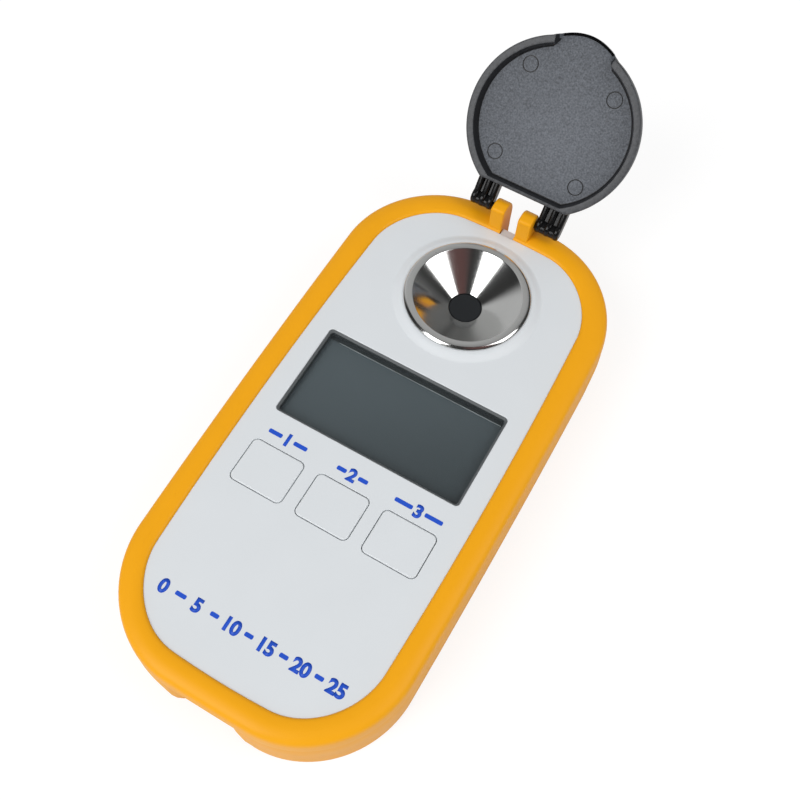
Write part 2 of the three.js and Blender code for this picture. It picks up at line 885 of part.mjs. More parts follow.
// A key cap about its own middle: a cap with a bevelled edge on a wider flange that keeps it in the panel
function keyCap() {
  const top = faceHeight + keyProud;
  const cap = new THREE.ExtrudeGeometry(
    roundedRectangle(keyWidth - 2 * keyBevel, keyHeight - 2 * keyBevel, keyCornerRadius - keyBevel),
    {
      depth: top - flangeBottom - 2 * keyBevel,
      bevelSize: keyBevel,
      bevelThickness: keyBevel,
      bevelSegments: 1,
      curveSegments: 4,
    },
  );
  cap.translate(0, 0, flangeBottom + keyBevel);
  const flange = plate(
    roundedRectangle(keyWidth + 2 * keyFlangeEdge, keyHeight + 2 * keyFlangeEdge, keyCornerRadius),
    flangeBottom,
    flangeTop,
  );
  return solid(cap).add(solid(flange));
}

// A tactile switch about its own middle, and its plunger
const plungerBottom = switchTop - plungerSink;
function keySwitch() {
  const half = switchSide / 2;
  const body = box([-half, -half, switchBottom], [half, half, switchTop]);
  const bore = rod(
    plungerRadius + slideGap,
    plungerBottom - keyTravel - slideGap,
    switchTop + overrun,
  );
  return body.subtract(bore);
}

// Steel dish: mouth, ring, flange under the panel, and the hub round the prism's neck
function sampleWell() {
  const middleHeight = wellFlangeBottom;
  return turned(
    [
      [wellWindowRadius, hubBottom],
      [wellHubRadius, hubBottom],
      [wellReliefRadius, middleHeight],
      [wellFlangeRadius, middleHeight],
      [wellFlangeRadius, wellFlangeTop],
      [wellOuterRadius, wellFlangeTop],
      [wellOuterRadius, wellTop - wellChamfer],
      [wellOuterRadius - wellChamfer, wellTop],
      [wellMouthRadius, wellTop],
      [wellWindowRadius, wellWindowHeight],
      [wellWindowRadius, hubBottom],
    ],
    wellSteps,
  );
}

// Rubber ring between the dish's flange and the panel
function wellSeal() {
  const ringRadius = (wellOuterRadius + wellFlangeRadius) / 2;
  const middle = (wellFlangeTop + panelBottom) / 2;
  const profile = [];
  for (let step = 0; step <= sealSides; step += 1) {
    const angle = (2 * Math.PI * step) / sealSides;
    profile.push([
      ringRadius + (sealThickness / 2) * Math.cos(angle),
      middle + (sealThickness / 2) * Math.sin(angle),
    ]);
  }
  return turned(profile, wellSteps);
}

// Profile of the prism in Y and Z: two slanted faces, for light in and light out
function prismProfile(grow, top) {
  const shape = new THREE.Shape();
  shape.moveTo(-prismFootHalfLength - grow, prismBottom - grow);
  shape.lineTo(prismFootHalfLength + grow, prismBottom - grow);
  shape.lineTo(prismHalfLength + grow, prismTop);
  shape.lineTo(prismHalfLength + grow, top);
  shape.lineTo(-prismHalfLength - grow, top);
  shape.lineTo(-prismHalfLength - grow, prismTop);
  return shape;
}
function prismBlock() {
  const block = new THREE.Shape();
  block.moveTo(-prismFootHalfLength, prismBottom);
  block.lineTo(prismFootHalfLength, prismBottom);
  block.lineTo(prismHalfLength, prismTop);
  block.lineTo(-prismHalfLength, prismTop);
  const neckRadius = wellWindowRadius - slideGap;
  const neck = rod(neckRadius, prismTop - prismHeight / 2, wellWindowHeight - prismSink, 0, 0, wellSteps);
  return solid(bar(block, -prismHalfWidth, prismHalfWidth)).add(neck);
}

// A frame on a beam has its Z along the beam, outwards, its X along the case's X, and its origin a
// distance from the face of the prism
function onBeam(side, distance) {
  const frame = new THREE.Group();
  frame.position.set(
    0,
    side * (faceMiddleY + distance * Math.cos(beamAngle)),
    faceMiddleZ - distance * Math.sin(beamAngle),
  );
  frame.rotation.x = side > 0 ? -Math.PI / 2 - beamAngle : Math.PI / 2 + beamAngle;
  return frame;
}

// A solid moved into a beam's frame
function alongBeam(made, side, distance) {
  const frame = onBeam(side, distance);
  frame.updateMatrix();
  return solid(geometryOf(made).applyMatrix4(frame.matrix));
}

// Black block that holds the prism between the lamp's beam and the sensor's, with its ends square to them
function opticsHousing() {
  const profile = new THREE.Shape();
  profile.moveTo(-opticsFootHalfLength, opticsBottom);
  profile.lineTo(opticsFootHalfLength, opticsBottom);
  profile.lineTo(opticsHalfLength, opticsTop);
  profile.lineTo(-opticsHalfLength, opticsTop);
  let block = solid(bar(profile, -opticsHalfWidth, opticsHalfWidth));
  const pocketHalfWidth = prismHalfWidth + clearance;
  const pocket = bar(prismProfile(clearance, opticsTop + overrun), -pocketHalfWidth, pocketHalfWidth);
  block = block.subtract(solid(pocket));
  for (const { sign } of sides) {
    const bore = rod(beamBoreRadius + clearance, -overrun, beamLength + overrun);
    block = block.subtract(alongBeam(bore, sign, 0));
  }

  // Relief under the block, which leaves its walls
  const reliefTop = prismBottom - opticsWall;
  block = block.subtract(
    box(
      [-opticsHalfWidth + opticsWall, -opticsFootHalfLength + opticsWall, opticsBottom - overrun],
      [opticsHalfWidth - opticsWall, opticsFootHalfLength - opticsWall, reliefTop],
    ),
  );
  return block;
}

// Convex lens with a flat back and a straight edge
function condenserLens() {
  const bulge = lensShares.map(([outward, upward]) => [
    outward * beamBoreRadius,
    lensEdge + upward * (lensThickness - lensEdge),
  ]);
  return turned([[0, 0], [beamBoreRadius, 0], ...bulge]);
}

// Light-emitting diode with a flange at its foot and a domed end towards the prism
function lampSolid() {
  const dome = lampDomeShares.map(([outward, downward]) => [
    outward * lampRadius,
    downward * lampRadius - lampLength,
  ]);
  return turned([
    ...dome,
    [lampRadius, -lampFlangeThickness],
    [lampFlangeRadius, -lampFlangeThickness],
    [lampFlangeRadius, 0],
    [0, 0],
  ]);
}

// Battery along Y about its own middle, with its positive cap towards the hinge end
function batterySolid() {
  const half = batteryLength / 2;
  const cell = turned([
    [0, -half],
    [batteryRadius - batteryEdge, -half],
    [batteryRadius, -half + batteryEdge],
    [batteryRadius, half - batteryEdge],
    [batteryRadius - batteryEdge, half],
    [batteryCapRadius, half],
    [batteryCapRadius, half + batteryCapHeight],
    [0, half + batteryCapHeight],
  ]);
  cell.rotateX(-Math.PI / 2);
  return cell;
}

// Coil spring along Y that widens to its foot, as one wire
function batterySpring() {
  const points = [];
  const last = springTurns * springStepsPerTurn;
  for (let step = 0; step <= last; step += 1) {
    const share = step / last;
    const angle = 2 * Math.PI * springTurns * share;
    const radius = springRadius + (springEndRadius - springRadius) * share;
    const along = springWireRadius + (springLength - 2 * springWireRadius) * share;
    points.push(new THREE.Vector3(radius * Math.cos(angle), along, radius * Math.sin(angle)));
  }
  const section = new THREE.Shape();
  for (let side = 0; side < springSides; side += 1) {
    const angle = (2 * Math.PI * side) / springSides;
    section[side ? "lineTo" : "moveTo"](
      springWireRadius * Math.cos(angle),
      springWireRadius * Math.sin(angle),
    );
  }
  return new THREE.ExtrudeGeometry(section, {
    steps: last,
    bevelEnabled: false,
    extrudePath: new THREE.CatmullRomCurve3(points),
  });
}

// Door: a plate on two rails that ends behind the scoop, with grip ribs cut at that end
function batteryDoor() {
  const end = -caseHalfLength + scoopDepth + doorSetback;
  let door = doorSpace(0, end);
  for (let rib = 0; rib < doorGripCount; rib += 1) {
    const y = end + doorGripFromEnd + rib * doorGripPitch;
    door = door.subtract(
      box(
        [-doorGripHalfLength, y, -overrun],
        [doorGripHalfLength, y + doorGripWidth, doorGripDepth],
      ),
    );
  }
  return door;
}

// A screw about Z with its head down and its tip up
function screw(headRadius, headHeight, shaftRadius, length) {
  const [crownShare, edgeShare] = screwHeadShares;
  return turned([
    [0, -headHeight],
    [crownShare * headRadius, -headHeight],
    [headRadius, -edgeShare * headHeight],
    [headRadius, 0],
    [shaftRadius, 0],
    [shaftRadius, length - shaftRadius],
    [0, length],
  ]);
}

// Outline of the lid about its own middle, moved inwards by a distance, and at the hinge side, where a chord
// cuts the circle off, by a distance of its own. A rounded thumb tab stands out opposite.
function lidLoop(inset, tab, chordInset = inset) {
  const radius = lidRadius - inset;
  const chord = lidChord - chordInset;
  const chordAngle = Math.acos(chord / radius);
  const points = [];
  const sweep = 2 * Math.PI - 2 * chordAngle;
  for (let step = 0; step <= lidSteps; step += 1) {
    const angle = Math.PI / 2 + chordAngle + (sweep * step) / lidSteps;
    const x = radius * Math.cos(angle);
    const across = Math.min(Math.abs(x) / lidTabHalfWidth, 1);
    const bump = Math.sin(angle) < 0 ? tab * (1 - across ** 2) ** lidTabFullness : 0;
    points.push(new THREE.Vector2(x, (radius + bump) * Math.sin(angle)));
  }
  return points;
}

// The lid in its closed place, about the hinge axis
const lidCentreY = -armReach - lidChord;
const lidRimPlane = faceHeight + lidRimGap - hingeHeight;
const lidFloor = lidRimPlane + lidDepth;
function lidSolid() {
  const at = (loop, z) => ({ loop: loop.map((p) => new THREE.Vector2(p.x, p.y + lidCentreY)), z });
  const skinRise = lidCrown - lidRimPlane;
  const edge = lidSkinShares.map(([inward, upward]) =>
    at(lidLoop(inward * lidEdgeRadius, lidTabLength), lidRimPlane + upward * skinRise),
  );
  const dome = lidDomeShares.map(([inward, upward]) => {
    const inset = lidEdgeRadius + inward * (lidChord - lidEdgeRadius);
    return at(lidLoop(inset, 0), lidRimPlane + upward * skinRise);
  });
  let lid = loft([at(lidLoop(0, lidTabLength), lidRimPlane), ...edge, ...dome]);
  const floorSpace = prismOf(at(lidLoop(lidWall, 0, lidChordWall), 0).loop, lidRimPlane - overrun, lidFloor);
  lid = lid.subtract(floorSpace);

  // The wall stops at the tab
  const tabSlot = box(
    [-lidTabSlotHalfWidth, lidCentreY - lidRadius - lidTabLength - overrun, lidRimPlane - overrun],
    [lidTabSlotHalfWidth, lidCentreY - lidRadius / 2, lidFloor],
  );
  lid = lid.subtract(tabSlot);

  // Two arms from the chord to the hinge axis, grooved on the side that faces the case
  const arm = new THREE.Shape();
  const chordY = lidCentreY + lidChord;
  arm.moveTo(chordY - lidChordWall / 2, -armUnderside);
  arm.lineTo(knuckleY, -armUnderside);
  const startAngle = -Math.asin((armUnderside + knuckleZ) / knuckleRadius);
  arm.absarc(knuckleY, knuckleZ, knuckleRadius, startAngle, Math.PI / 2);
  arm.lineTo(chordY - lidChordWall / 2, armThickness - armUnderside);
  for (const { sign } of sides) {
    const nearX = sign * (lugOuter + armGap);
    const farX = sign * (lugOuter + armGap + armWidth);
    const low = Math.min(nearX, farX);
    const high = Math.max(nearX, farX);
    lid = lid.add(solid(bar(arm, low, high)));
    const ribWidth = (armWidth - armGrooveCount * armGrooveWidth) / (armGrooveCount + 1);
    for (let groove = 0; groove < armGrooveCount; groove += 1) {
      const start = low + ribWidth + groove * (ribWidth + armGrooveWidth);
      lid = lid.subtract(
        box(
          [start, chordY, -knuckleRadius - overrun],
          [start + armGrooveWidth, -2 * pinRadius, -armUnderside + armGrooveDepth],
        ),
      );
    }
    lid = lid.subtract(rodAlongX(pinRadius + turningGap, low - overrun, high - pinHeadWall(sign, 1)));
    lid = lid.subtract(rodAlongX(pinRadius + turningGap, low + pinHeadWall(sign, -1), high));
  }
  return lid;
}

// The bore of an arm is blind at its outer end: the wall that is left there, at the end a side asks for
function pinHeadWall(sign, end) {
  return sign === end ? pinInset : -overrun;
}

// Assembly
const refractometer = new THREE.Group();

refractometer.add(piece("rear_case", rearCase(), "orange"));
refractometer.add(piece("rim_frame", rimFrame(), "orange"));
refractometer.add(piece("front_panel", frontPanel(), "white"));

const display = new THREE.Group();
display.position.y = displayCentreY;
refractometer.add(display);
const windowTop = faceHeight - windowDrop;
const windowPlate = plate(
  roundedRectangle(windowWidth - 2 * panelGap, windowHeight - 2 * panelGap, windowCornerRadius),
  windowTop - windowThickness,
  windowTop,
);
display.add(piece("display_window", windowPlate, "glass"));
const halfLcd = [lcdWidth / 2, lcdHeight / 2];
display.add(
  piece("lcd_glass", box([-halfLcd[0], -halfLcd[1], lcdBottom], [halfLcd[0], halfLcd[1], lcdTop]), "glass"),
);
const frameInner = halfLcd.map((half) => half + clearance);
const frameOuter = frameInner.map((half) => half + lcdFrameWall);
const lcdFrame = cut(
  box([-frameOuter[0], -frameOuter[1], boardTop + seatGap], [frameOuter[0], frameOuter[1], lcdTop]),
  box(
    [-frameInner[0], -frameInner[1], boardTop - overrun],
    [frameInner[0], frameInner[1], lcdTop + overrun],
  ),
);
display.add(piece("lcd_frame", lcdFrame, "black"));
for (const [name, sign] of [
  ["upper", 1],
  ["lower", -1],
]) {
  const strip = piece(
    "lcd_contact_" + name,
    box(
      [-halfLcd[0] + contactInset, -contactWidth / 2, boardTop + seatGap],
      [halfLcd[0] - contactInset, contactWidth / 2, lcdBottom - seatGap],
    ),
    "rubber",
  );
  strip.position.y = sign * (halfLcd[1] - contactInset - contactWidth / 2);
  display.add(strip);
}

const capGeometry = geometryOf(keyCap());
const switchGeometry = geometryOf(keySwitch());
const plungerGeometry = geometryOf(rod(plungerRadius, plungerBottom, flangeBottom - seatGap));
for (const { name, x } of keys) {
  const key = new THREE.Group();
  key.position.set(x, keyRowY, 0);
  key.add(piece("key_cap_" + name, capGeometry, "white"));
  key.add(piece("key_switch_" + name, switchGeometry, "black"));
  key.add(piece("switch_plunger_" + name, plungerGeometry, "white"));
  refractometer.add(key);
}

const boardOutline = roundedRectangle(
  2 * boardHalfWidth,
  boardHigh - boardLow,
  boardCornerRadius,
  0,
  (boardHigh + boardLow) / 2,
);
const boardReach = [boardBottom - overrun, boardTop + overrun];
let board = solid(plate(boardOutline, boardBottom, boardTop));
board = board.intersect(prismOf(caseLoop(wall + boardToCase), ...boardReach));
for (const { sign } of sides) {
  board = board.subtract(
    rod(boardScrewShaftRadius + clearance, ...boardReach, sign * boardScrewX, boardScrewY),
  );
}
for (const [x, y] of screwPlaces) {
  board = board.subtract(rod(rimBossRadius + clearance, ...boardReach, x, y));
}
refractometer.add(piece("main_board", board, "board"));
const chip = piece(
  "control_chip",
  box(
    [-chipSide / 2, -chipSide / 2, boardTop + seatGap],
    [chipSide / 2, chipSide / 2, boardTop + chipHeight],
  ),
  "black",
);
chip.position.y = keyRowY - keyHeight / 2 - chipToKeys - chipSide / 2;
refractometer.add(chip);
const boardScrew = screw(
  boardScrewHeadRadius,
  boardScrewHeadHeight,
  boardScrewShaftRadius,
  boardScrewLength,
);
for (const { name, sign } of sides) {
  const fastener = piece("board_screw_" + name, boardScrew, "steel");
  fastener.position.set(sign * boardScrewX, boardScrewY, boardTop + seatGap);
  fastener.rotation.x = Math.PI;
  refractometer.add(fastener);
}

const optics = new THREE.Group();
optics.position.y = wellCentreY;
refractometer.add(optics);
optics.add(piece("sample_well", sampleWell(), "steel"));
optics.add(piece("well_seal", wellSeal(), "rubber"));
optics.add(piece("prism", prismBlock(), "prism"));
optics.add(piece("optics_housing", opticsHousing(), "black"));
const lampSide = -1;
const sensorSide = 1;
const beamBoard = box(
  [-beamBoardWidth / 2, -beamBoardLength / 2, 0],
  [beamBoardWidth / 2, beamBoardLength / 2, beamBoardThickness],
);
for (const [name, side] of [
  ["lamp_board", lampSide],
  ["sensor_board", sensorSide],
]) {
  const frame = onBeam(side, beamLength + clearance);
  frame.add(piece(name, beamBoard, "board"));
  optics.add(frame);
}
const lampFrame = onBeam(lampSide, beamLength);
lampFrame.add(piece("lamp", lampSolid(), "lamp"));
optics.add(lampFrame);
const lensFrame = onBeam(lampSide, lensDistance);
lensFrame.add(piece("condenser_lens", condenserLens(), "glass"));
optics.add(lensFrame);
const sensorFrame = onBeam(sensorSide, beamLength - sensorThickness);
sensorFrame.add(
  piece(
    "line_sensor",
    box([-sensorLength / 2, -sensorWidth / 2, 0], [sensorLength / 2, sensorWidth / 2, sensorThickness]),
    "black",
  ),
);
optics.add(sensorFrame);
const thermistor = piece(
  "temperature_sensor",
  new THREE.CapsuleGeometry(thermistorRadius, thermistorLength, thermistorCapSteps, thermistorSteps),
  "brass",
);
thermistor.position.set(thermistorX, thermistorY, opticsTop + seatGap + thermistorRadius);
thermistor.rotation.z = Math.PI / 2;
optics.add(thermistor);

const power = new THREE.Group();
power.position.set(0, batteryTopY - batteryLength / 2, batteryHeight);
refractometer.add(power);
power.add(piece("battery", batterySolid(), "battery"));
const contactPlate = box(
  [-contactPlateHalfWidth, 0, -contactPlateHalfWidth],
  [contactPlateHalfWidth, contactPlateThickness, contactPlateHalfWidth],
);
const positive = piece("battery_contact", contactPlate, "steel");
positive.position.y = batteryLength / 2 + batteryCapHeight + seatGap;
power.add(positive);
const spring = piece("battery_spring", batterySpring(), "steel");
spring.position.y = -batteryLength / 2 - springLength - seatGap;
power.add(spring);
refractometer.add(piece("battery_door", batteryDoor(), "orange"));

const caseScrew = screw(screwHeadRadius, screwHeadHeight, screwShaftRadius, screwLength - clearance);
screwPlaces.forEach(([x, y], number) => {
  const fastener = piece("case_screw_" + (number + 1), caseScrew, "steel");
  fastener.position.set(x, y, screwSeatHeight - seatGap);
  refractometer.add(fastener);
});

const hinge = new THREE.Group();
hinge.position.set(0, hingeY, hingeHeight);
refractometer.add(hinge);
const pinStart = lugInner + pinEndWall + seatGap;
const pinEnd = lugOuter + armGap + armWidth - pinInset - seatGap;
const pinGeometry = geometryOf(rodAlongX(pinRadius, -(pinEnd - pinStart) / 2, (pinEnd - pinStart) / 2));
for (const { name, sign } of sides) {
  const pin = piece("hinge_pin_" + name, pinGeometry, "steel");
  pin.position.x = (sign * (pinStart + pinEnd)) / 2;
  hinge.add(pin);
}
const lidGroup = new THREE.Group();
lidGroup.rotation.x = -THREE.MathUtils.degToRad(lidOpenDegrees);
lidGroup.add(piece("lid", lidSolid(), "black"));
hinge.add(lidGroup);

export default refractometer;
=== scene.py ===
import math

import bpy
import numpy as np
from mathutils import Matrix, Vector


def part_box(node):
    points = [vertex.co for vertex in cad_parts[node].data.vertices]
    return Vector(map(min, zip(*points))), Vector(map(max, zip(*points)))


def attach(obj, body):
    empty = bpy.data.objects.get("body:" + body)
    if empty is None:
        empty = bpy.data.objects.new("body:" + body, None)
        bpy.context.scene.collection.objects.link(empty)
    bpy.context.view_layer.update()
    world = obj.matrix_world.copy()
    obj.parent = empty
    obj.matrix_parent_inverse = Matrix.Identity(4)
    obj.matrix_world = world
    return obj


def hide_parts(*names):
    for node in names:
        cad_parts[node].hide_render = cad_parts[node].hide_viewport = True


# Pocket digital refractometer with its lid open, lying on a pale table. Every shape is worked out in
# millimetres in the row frame: the origin under the middle of the case, +Y to the hinge, +Z up.
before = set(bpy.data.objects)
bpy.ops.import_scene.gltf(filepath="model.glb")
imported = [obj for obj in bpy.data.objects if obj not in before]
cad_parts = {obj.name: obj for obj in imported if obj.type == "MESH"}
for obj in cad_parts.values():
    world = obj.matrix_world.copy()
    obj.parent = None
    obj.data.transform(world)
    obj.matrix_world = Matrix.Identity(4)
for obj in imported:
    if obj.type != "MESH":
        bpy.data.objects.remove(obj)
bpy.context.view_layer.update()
scene = bpy.context.scene


# Camera: it stands off the lower right of the case and looks down on it at 63 degrees. The whole object
# fills the square picture.
lens_data = bpy.data.cameras.new("camera")
lens_data.lens = 45
lens_data.sensor_width = 36
lens_data.clip_start = 0.01
camera = bpy.data.objects.new("camera", lens_data)
camera.location = (0.03827, -0.07065, 0.19211)
camera.rotation_euler = [math.radians(turn) for turn in (26.7855, -1.8308, 29.6975)]
bpy.context.collection.objects.link(camera)
scene.camera = camera
scene.view_settings.view_transform = "Standard"


# Tray: the orange rear half of the case, an injection moulding whose wall draws in towards a rounded bottom
# edge, with a shallow scoop at the bottom end. It holds the battery bay, the bosses of the four case screws,
# the posts of the board, and the slot between the hinge lugs.
def measured(node):
    """Middle and size of a solid of the frame, in millimetres."""
    low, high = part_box(node)
    return np.array((low + high) * 500), np.array((high - low) * 1000)


FACE = 19.5
SEAM = 15.2
TRAY_TOP = 15.12
CASE_HALF = (29.6, measured("rim_frame")[1][1] / 2)
CASE_CORNERS = (21.9, 21.3)
CASE_SIDE_BOW, CASE_END_BOW, CASE_LEAN = 0.026, 0.004, 0.016
OUTLINE_STEPS = (14, 30, 9)
OVERRUN = 1.0
WALL = 2.0
FLOOR = 2.4
TAPER = 0.3
FOOT_RADIUS = 1.5
TRAY_EDGE = 0.08
SHOULDER = 0.32
SHOULDER_FOOT = 10.5
SHOULDER_RINGS = (SHOULDER_FOOT - 1, TRAY_TOP - 0.4, 8)
SCOOP_X = -1.9
SCOOP_FLAT = 2.8
SCOOP_HALF_WIDTH = 8.3
SCOOP_DEPTH = 2.1
HINGE_Y, HINGE_Z = measured("hinge_pin_left")[0][1:]
LUG_INNER = 1.6
TONGUE_END = 1000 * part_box("front_panel")[1].y


def bowed_outline(half_width, half_length, corners, side_bow, end_bow, shift=0.0, lean=0.0):
    """Rectangle with quarter circles at its corners, of one radius at the hinge end and another at the
    bottom. With v for y over the half length and u for x over the half width, x is then multiplied by one
    minus side_bow times v squared plus lean times v, and y by one minus end_bow times u squared. The shift
    moves the outline along Y."""
    side, corner, end = OUTLINE_STEPS
    halves = []
    for radius in corners:
        side_y = np.linspace(0, half_length - radius, side, endpoint=False)
        turn = np.linspace(0, math.pi / 2, corner)
        end_x = np.linspace(half_width - radius, 0, end + 1)[1:]
        x = np.concatenate([np.full(side, half_width), half_width - radius + radius * np.cos(turn), end_x])
        y = np.concatenate([side_y, half_length - radius + radius * np.sin(turn), np.full(end, half_length)])
        quarter = np.column_stack([x, y])
        halves.append(np.concatenate([quarter, quarter[-2::-1] * [-1, 1]]))
    outline = np.concatenate([halves[0], halves[1][-2:0:-1] * [1, -1]])
    u, v = outline[:, 0] / half_width, outline[:, 1] / half_length
    scale = np.column_stack([1 - side_bow * v ** 2 + lean * v, 1 - end_bow * u ** 2])
    return outline * scale + [0, shift]


def case_outline(inset):
    """Outline of the case, moved inwards by a distance."""
    half_width, half_length = (half - inset for half in CASE_HALF)
    corners = [radius - inset for radius in CASE_CORNERS]
    return bowed_outline(half_width, half_length, corners, CASE_SIDE_BOW, CASE_END_BOW, lean=CASE_LEAN)


def tray_outline(inset, height=TRAY_TOP):
    """Outline of the case at a height, moved inwards by a distance. The wall draws in evenly from the top to
    the bottom. Above the shoulder's foot it also draws in by the shoulder times the square of the height's
    share of the way up. The scoop moves the bottom end in by its depth over its flat middle, and by half a
    cosine wave on both sides."""
    above = max(0, height - SHOULDER_FOOT) / (TRAY_TOP - SHOULDER_FOOT)
    outline = case_outline(inset + TAPER * (1 - height / TRAY_TOP) + SHOULDER * above ** 2)
    across = np.clip((np.abs(outline[:, 0] - SCOOP_X) - SCOOP_FLAT) / (SCOOP_HALF_WIDTH - SCOOP_FLAT), 0, 1)
    wave = np.where(outline[:, 1] < 0, (1 + np.cos(np.pi * across)) / 2, 0)
    outline[:, 1] += SCOOP_DEPTH * wave
    return outline


def at_height(outline, height):
    """An outline as points in space at one height, or at a height for each point."""
    return np.column_stack([outline, np.broadcast_to(height, len(outline))])


def rounded_edge(low, radius, steps=6, upper=False):
    """Insets and heights of a quarter circle. For a lower edge the inset is radius times one minus sine and
    the height low plus radius times one minus cosine; for an upper edge sine and cosine change places."""
    turn = np.linspace(0, math.pi / 2, steps)
    near, far = 1 - np.sin(turn), 1 - np.cos(turn)
    return zip(radius * far, low + radius * (1 - near)) if upper else zip(radius * near, low + radius * far)


def surface(name, rings, joined=False):
    """Mesh through rings of equally many points, ring after ring: four-sided faces join neighbours, and
    each end ring is capped by one face, or the last ring meets the first again."""
    rings = np.asarray(rings, dtype=float)
    count, around = rings.shape[:2]
    band = np.arange(count if joined else count - 1)[:, None] * around
    next_band = (band + around) % (count * around)
    step = np.arange(around)[None, :]
    after = (step + 1) % around
    faces = np.stack([band + step, band + after, next_band + after, next_band + step], axis=-1)
    faces = faces.reshape(-1, 4).tolist()
    if not joined:
        faces += [list(range(around))[::-1], list(range((count - 1) * around, count * around))]
    mesh = bpy.data.meshes.new(name)
    mesh.from_pydata(rings.reshape(-1, 3).tolist(), [], faces)
    piece = bpy.data.objects.new(name, mesh)
    bpy.context.collection.objects.link(piece)
    return piece


def column(outline, low, high):
    """Upright solid of an outline between two heights."""
    return surface("tool", [at_height(outline, low), at_height(outline, high)])


def block(low, high):
    """Solid between two corners."""
    x, y = np.array([low[0], high[0], high[0], low[0]]), np.array([low[1], low[1], high[1], high[1]])
    return column(np.column_stack([x, y]), low[2], high[2])


def circle(radius, x=0.0, y=0.0, steps=48):
    """Points on a circle: centre plus radius times cosine and sine."""
    turn = np.arange(steps) * (2 * math.pi / steps)
    return np.column_stack([x + radius * np.cos(turn), y + radius * np.sin(turn)])


def worked(piece, operation, tools):
    """Joins each tool to a piece, or cuts it out, and removes the tools."""
    for tool in tools:
        step = piece.modifiers.new("step", "BOOLEAN")
        step.operation = operation
        step.solver = "EXACT"
        step.object = tool
    made = bpy.data.meshes.new_from_object(piece.evaluated_get(bpy.context.evaluated_depsgraph_get()))
    piece.modifiers.clear()
    piece.data = made
    for tool in tools:
        bpy.data.objects.remove(tool)


def fitted(piece, body, finishes, stands_for, sharp=32, zones=None):
    """Brings a piece from millimetres to metres, shades it smooth between its sharp edges, gives it its
    finishes, and fixes it to its body in the place of the solids that it stands for. Ink has no slot. Zones,
    where given, number the finish of each face."""
    piece.data.transform(Matrix.Scale(0.001, 4))
    piece.data.materials.clear()
    for finish in finishes:
        piece.data.materials.append(finish)
    numbers = np.zeros(len(piece.data.polygons), dtype=np.int32) if zones is None else zones
    piece.data.polygons.foreach_set("material_index", numbers.astype(np.int32))
    piece.data.shade_smooth()
    piece.data.set_sharp_from_angle(angle=math.radians(sharp))
    even = piece.modifiers.new("even", "WEIGHTED_NORMAL")
    even.keep_sharp = True
    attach(piece, body)
    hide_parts(*stands_for)


def finish(name, colour, roughness, mottle=0.04, mottle_size=9.0, grain=0.05, grain_size=0.25, **sockets):
    """A moulded or machined finish in Object coordinates. Broad noise of mottle_size mm lightens and darkens
    the colour by the share mottle and shifts the roughness; fine noise of grain_size mm makes the bump."""
    material = bpy.data.materials.new(name)
    material.use_nodes = True
    nodes, link = material.node_tree.nodes, material.node_tree.links.new
    shader = nodes["Principled BSDF"]
    for socket, value in sockets.items():
        shader.inputs[socket.replace("_", " ")].default_value = value
    place = nodes.new("ShaderNodeTexCoord")
    broad = nodes.new("ShaderNodeTexNoise")
    broad.inputs["Scale"].default_value = 1000 / mottle_size
    broad.inputs["Detail"].default_value = 4
    link(place.outputs["Object"], broad.inputs["Vector"])
    spread = nodes.new("ShaderNodeMapRange")
    spread.inputs["From Min"].default_value = 0.3
    spread.inputs["From Max"].default_value = 0.7
    link(broad.outputs["Fac"], spread.inputs["Value"])
    shade = nodes.new("ShaderNodeMix")
    shade.name = "shade"
    shade.data_type = "RGBA"
    shade.inputs["A"].default_value = [part * (1 - mottle) for part in colour] + [1]
    shade.inputs["B"].default_value = [min(1, part * (1 + mottle)) for part in colour] + [1]
    link(spread.outputs["Result"], shade.inputs["Factor"])
    link(shade.outputs["Result"], shader.inputs["Base Color"])
    polish = nodes.new("ShaderNodeMapRange")
    polish.inputs["To Min"].default_value = roughness * 0.9
    polish.inputs["To Max"].default_value = roughness * 1.1
    link(spread.outputs["Result"], polish.inputs["Value"])
    link(polish.outputs["Result"], shader.inputs["Roughness"])
    fine = nodes.new("ShaderNodeTexNoise")
    fine.name = "fine"
    fine.inputs["Scale"].default_value = 1000 / grain_size
    fine.inputs["Detail"].default_value = 3
    link(place.outputs["Object"], fine.inputs["Vector"])
    bump = nodes.new("ShaderNodeBump")
    bump.inputs["Strength"].default_value = grain
    bump.inputs["Distance"].default_value = 0.0001
    link(fine.outputs["Fac"], bump.inputs["Height"])
    link(bump.outputs["Normal"], shader.inputs["Normal"])
    return material


orange_plastic = finish("orange_plastic", (0.87, 0.382, 0.006), 0.38, mottle=0.012, Specular_IOR_Level=0.18)

foot_edge = rounded_edge(0, FOOT_RADIUS, steps=9)
shoulder = [(0, z) for z in np.linspace(*SHOULDER_RINGS)]
top_edge = rounded_edge(TRAY_TOP - TRAY_EDGE, TRAY_EDGE, upper=True)
tray = surface("tray_shell", [
    at_height(tray_outline(inset, z), z) for inset, z in [*foot_edge, *shoulder, *top_edge]
])
FLOOR_BEVEL = 1.0
worked(tray, "DIFFERENCE", [surface("tool", [
    at_height(tray_outline(WALL + FLOOR_BEVEL, FLOOR), FLOOR),
    at_height(tray_outline(WALL, FLOOR + FLOOR_BEVEL), FLOOR + FLOOR_BEVEL),
    at_height(tray_outline(WALL), TRAY_TOP + OVERRUN),
])])

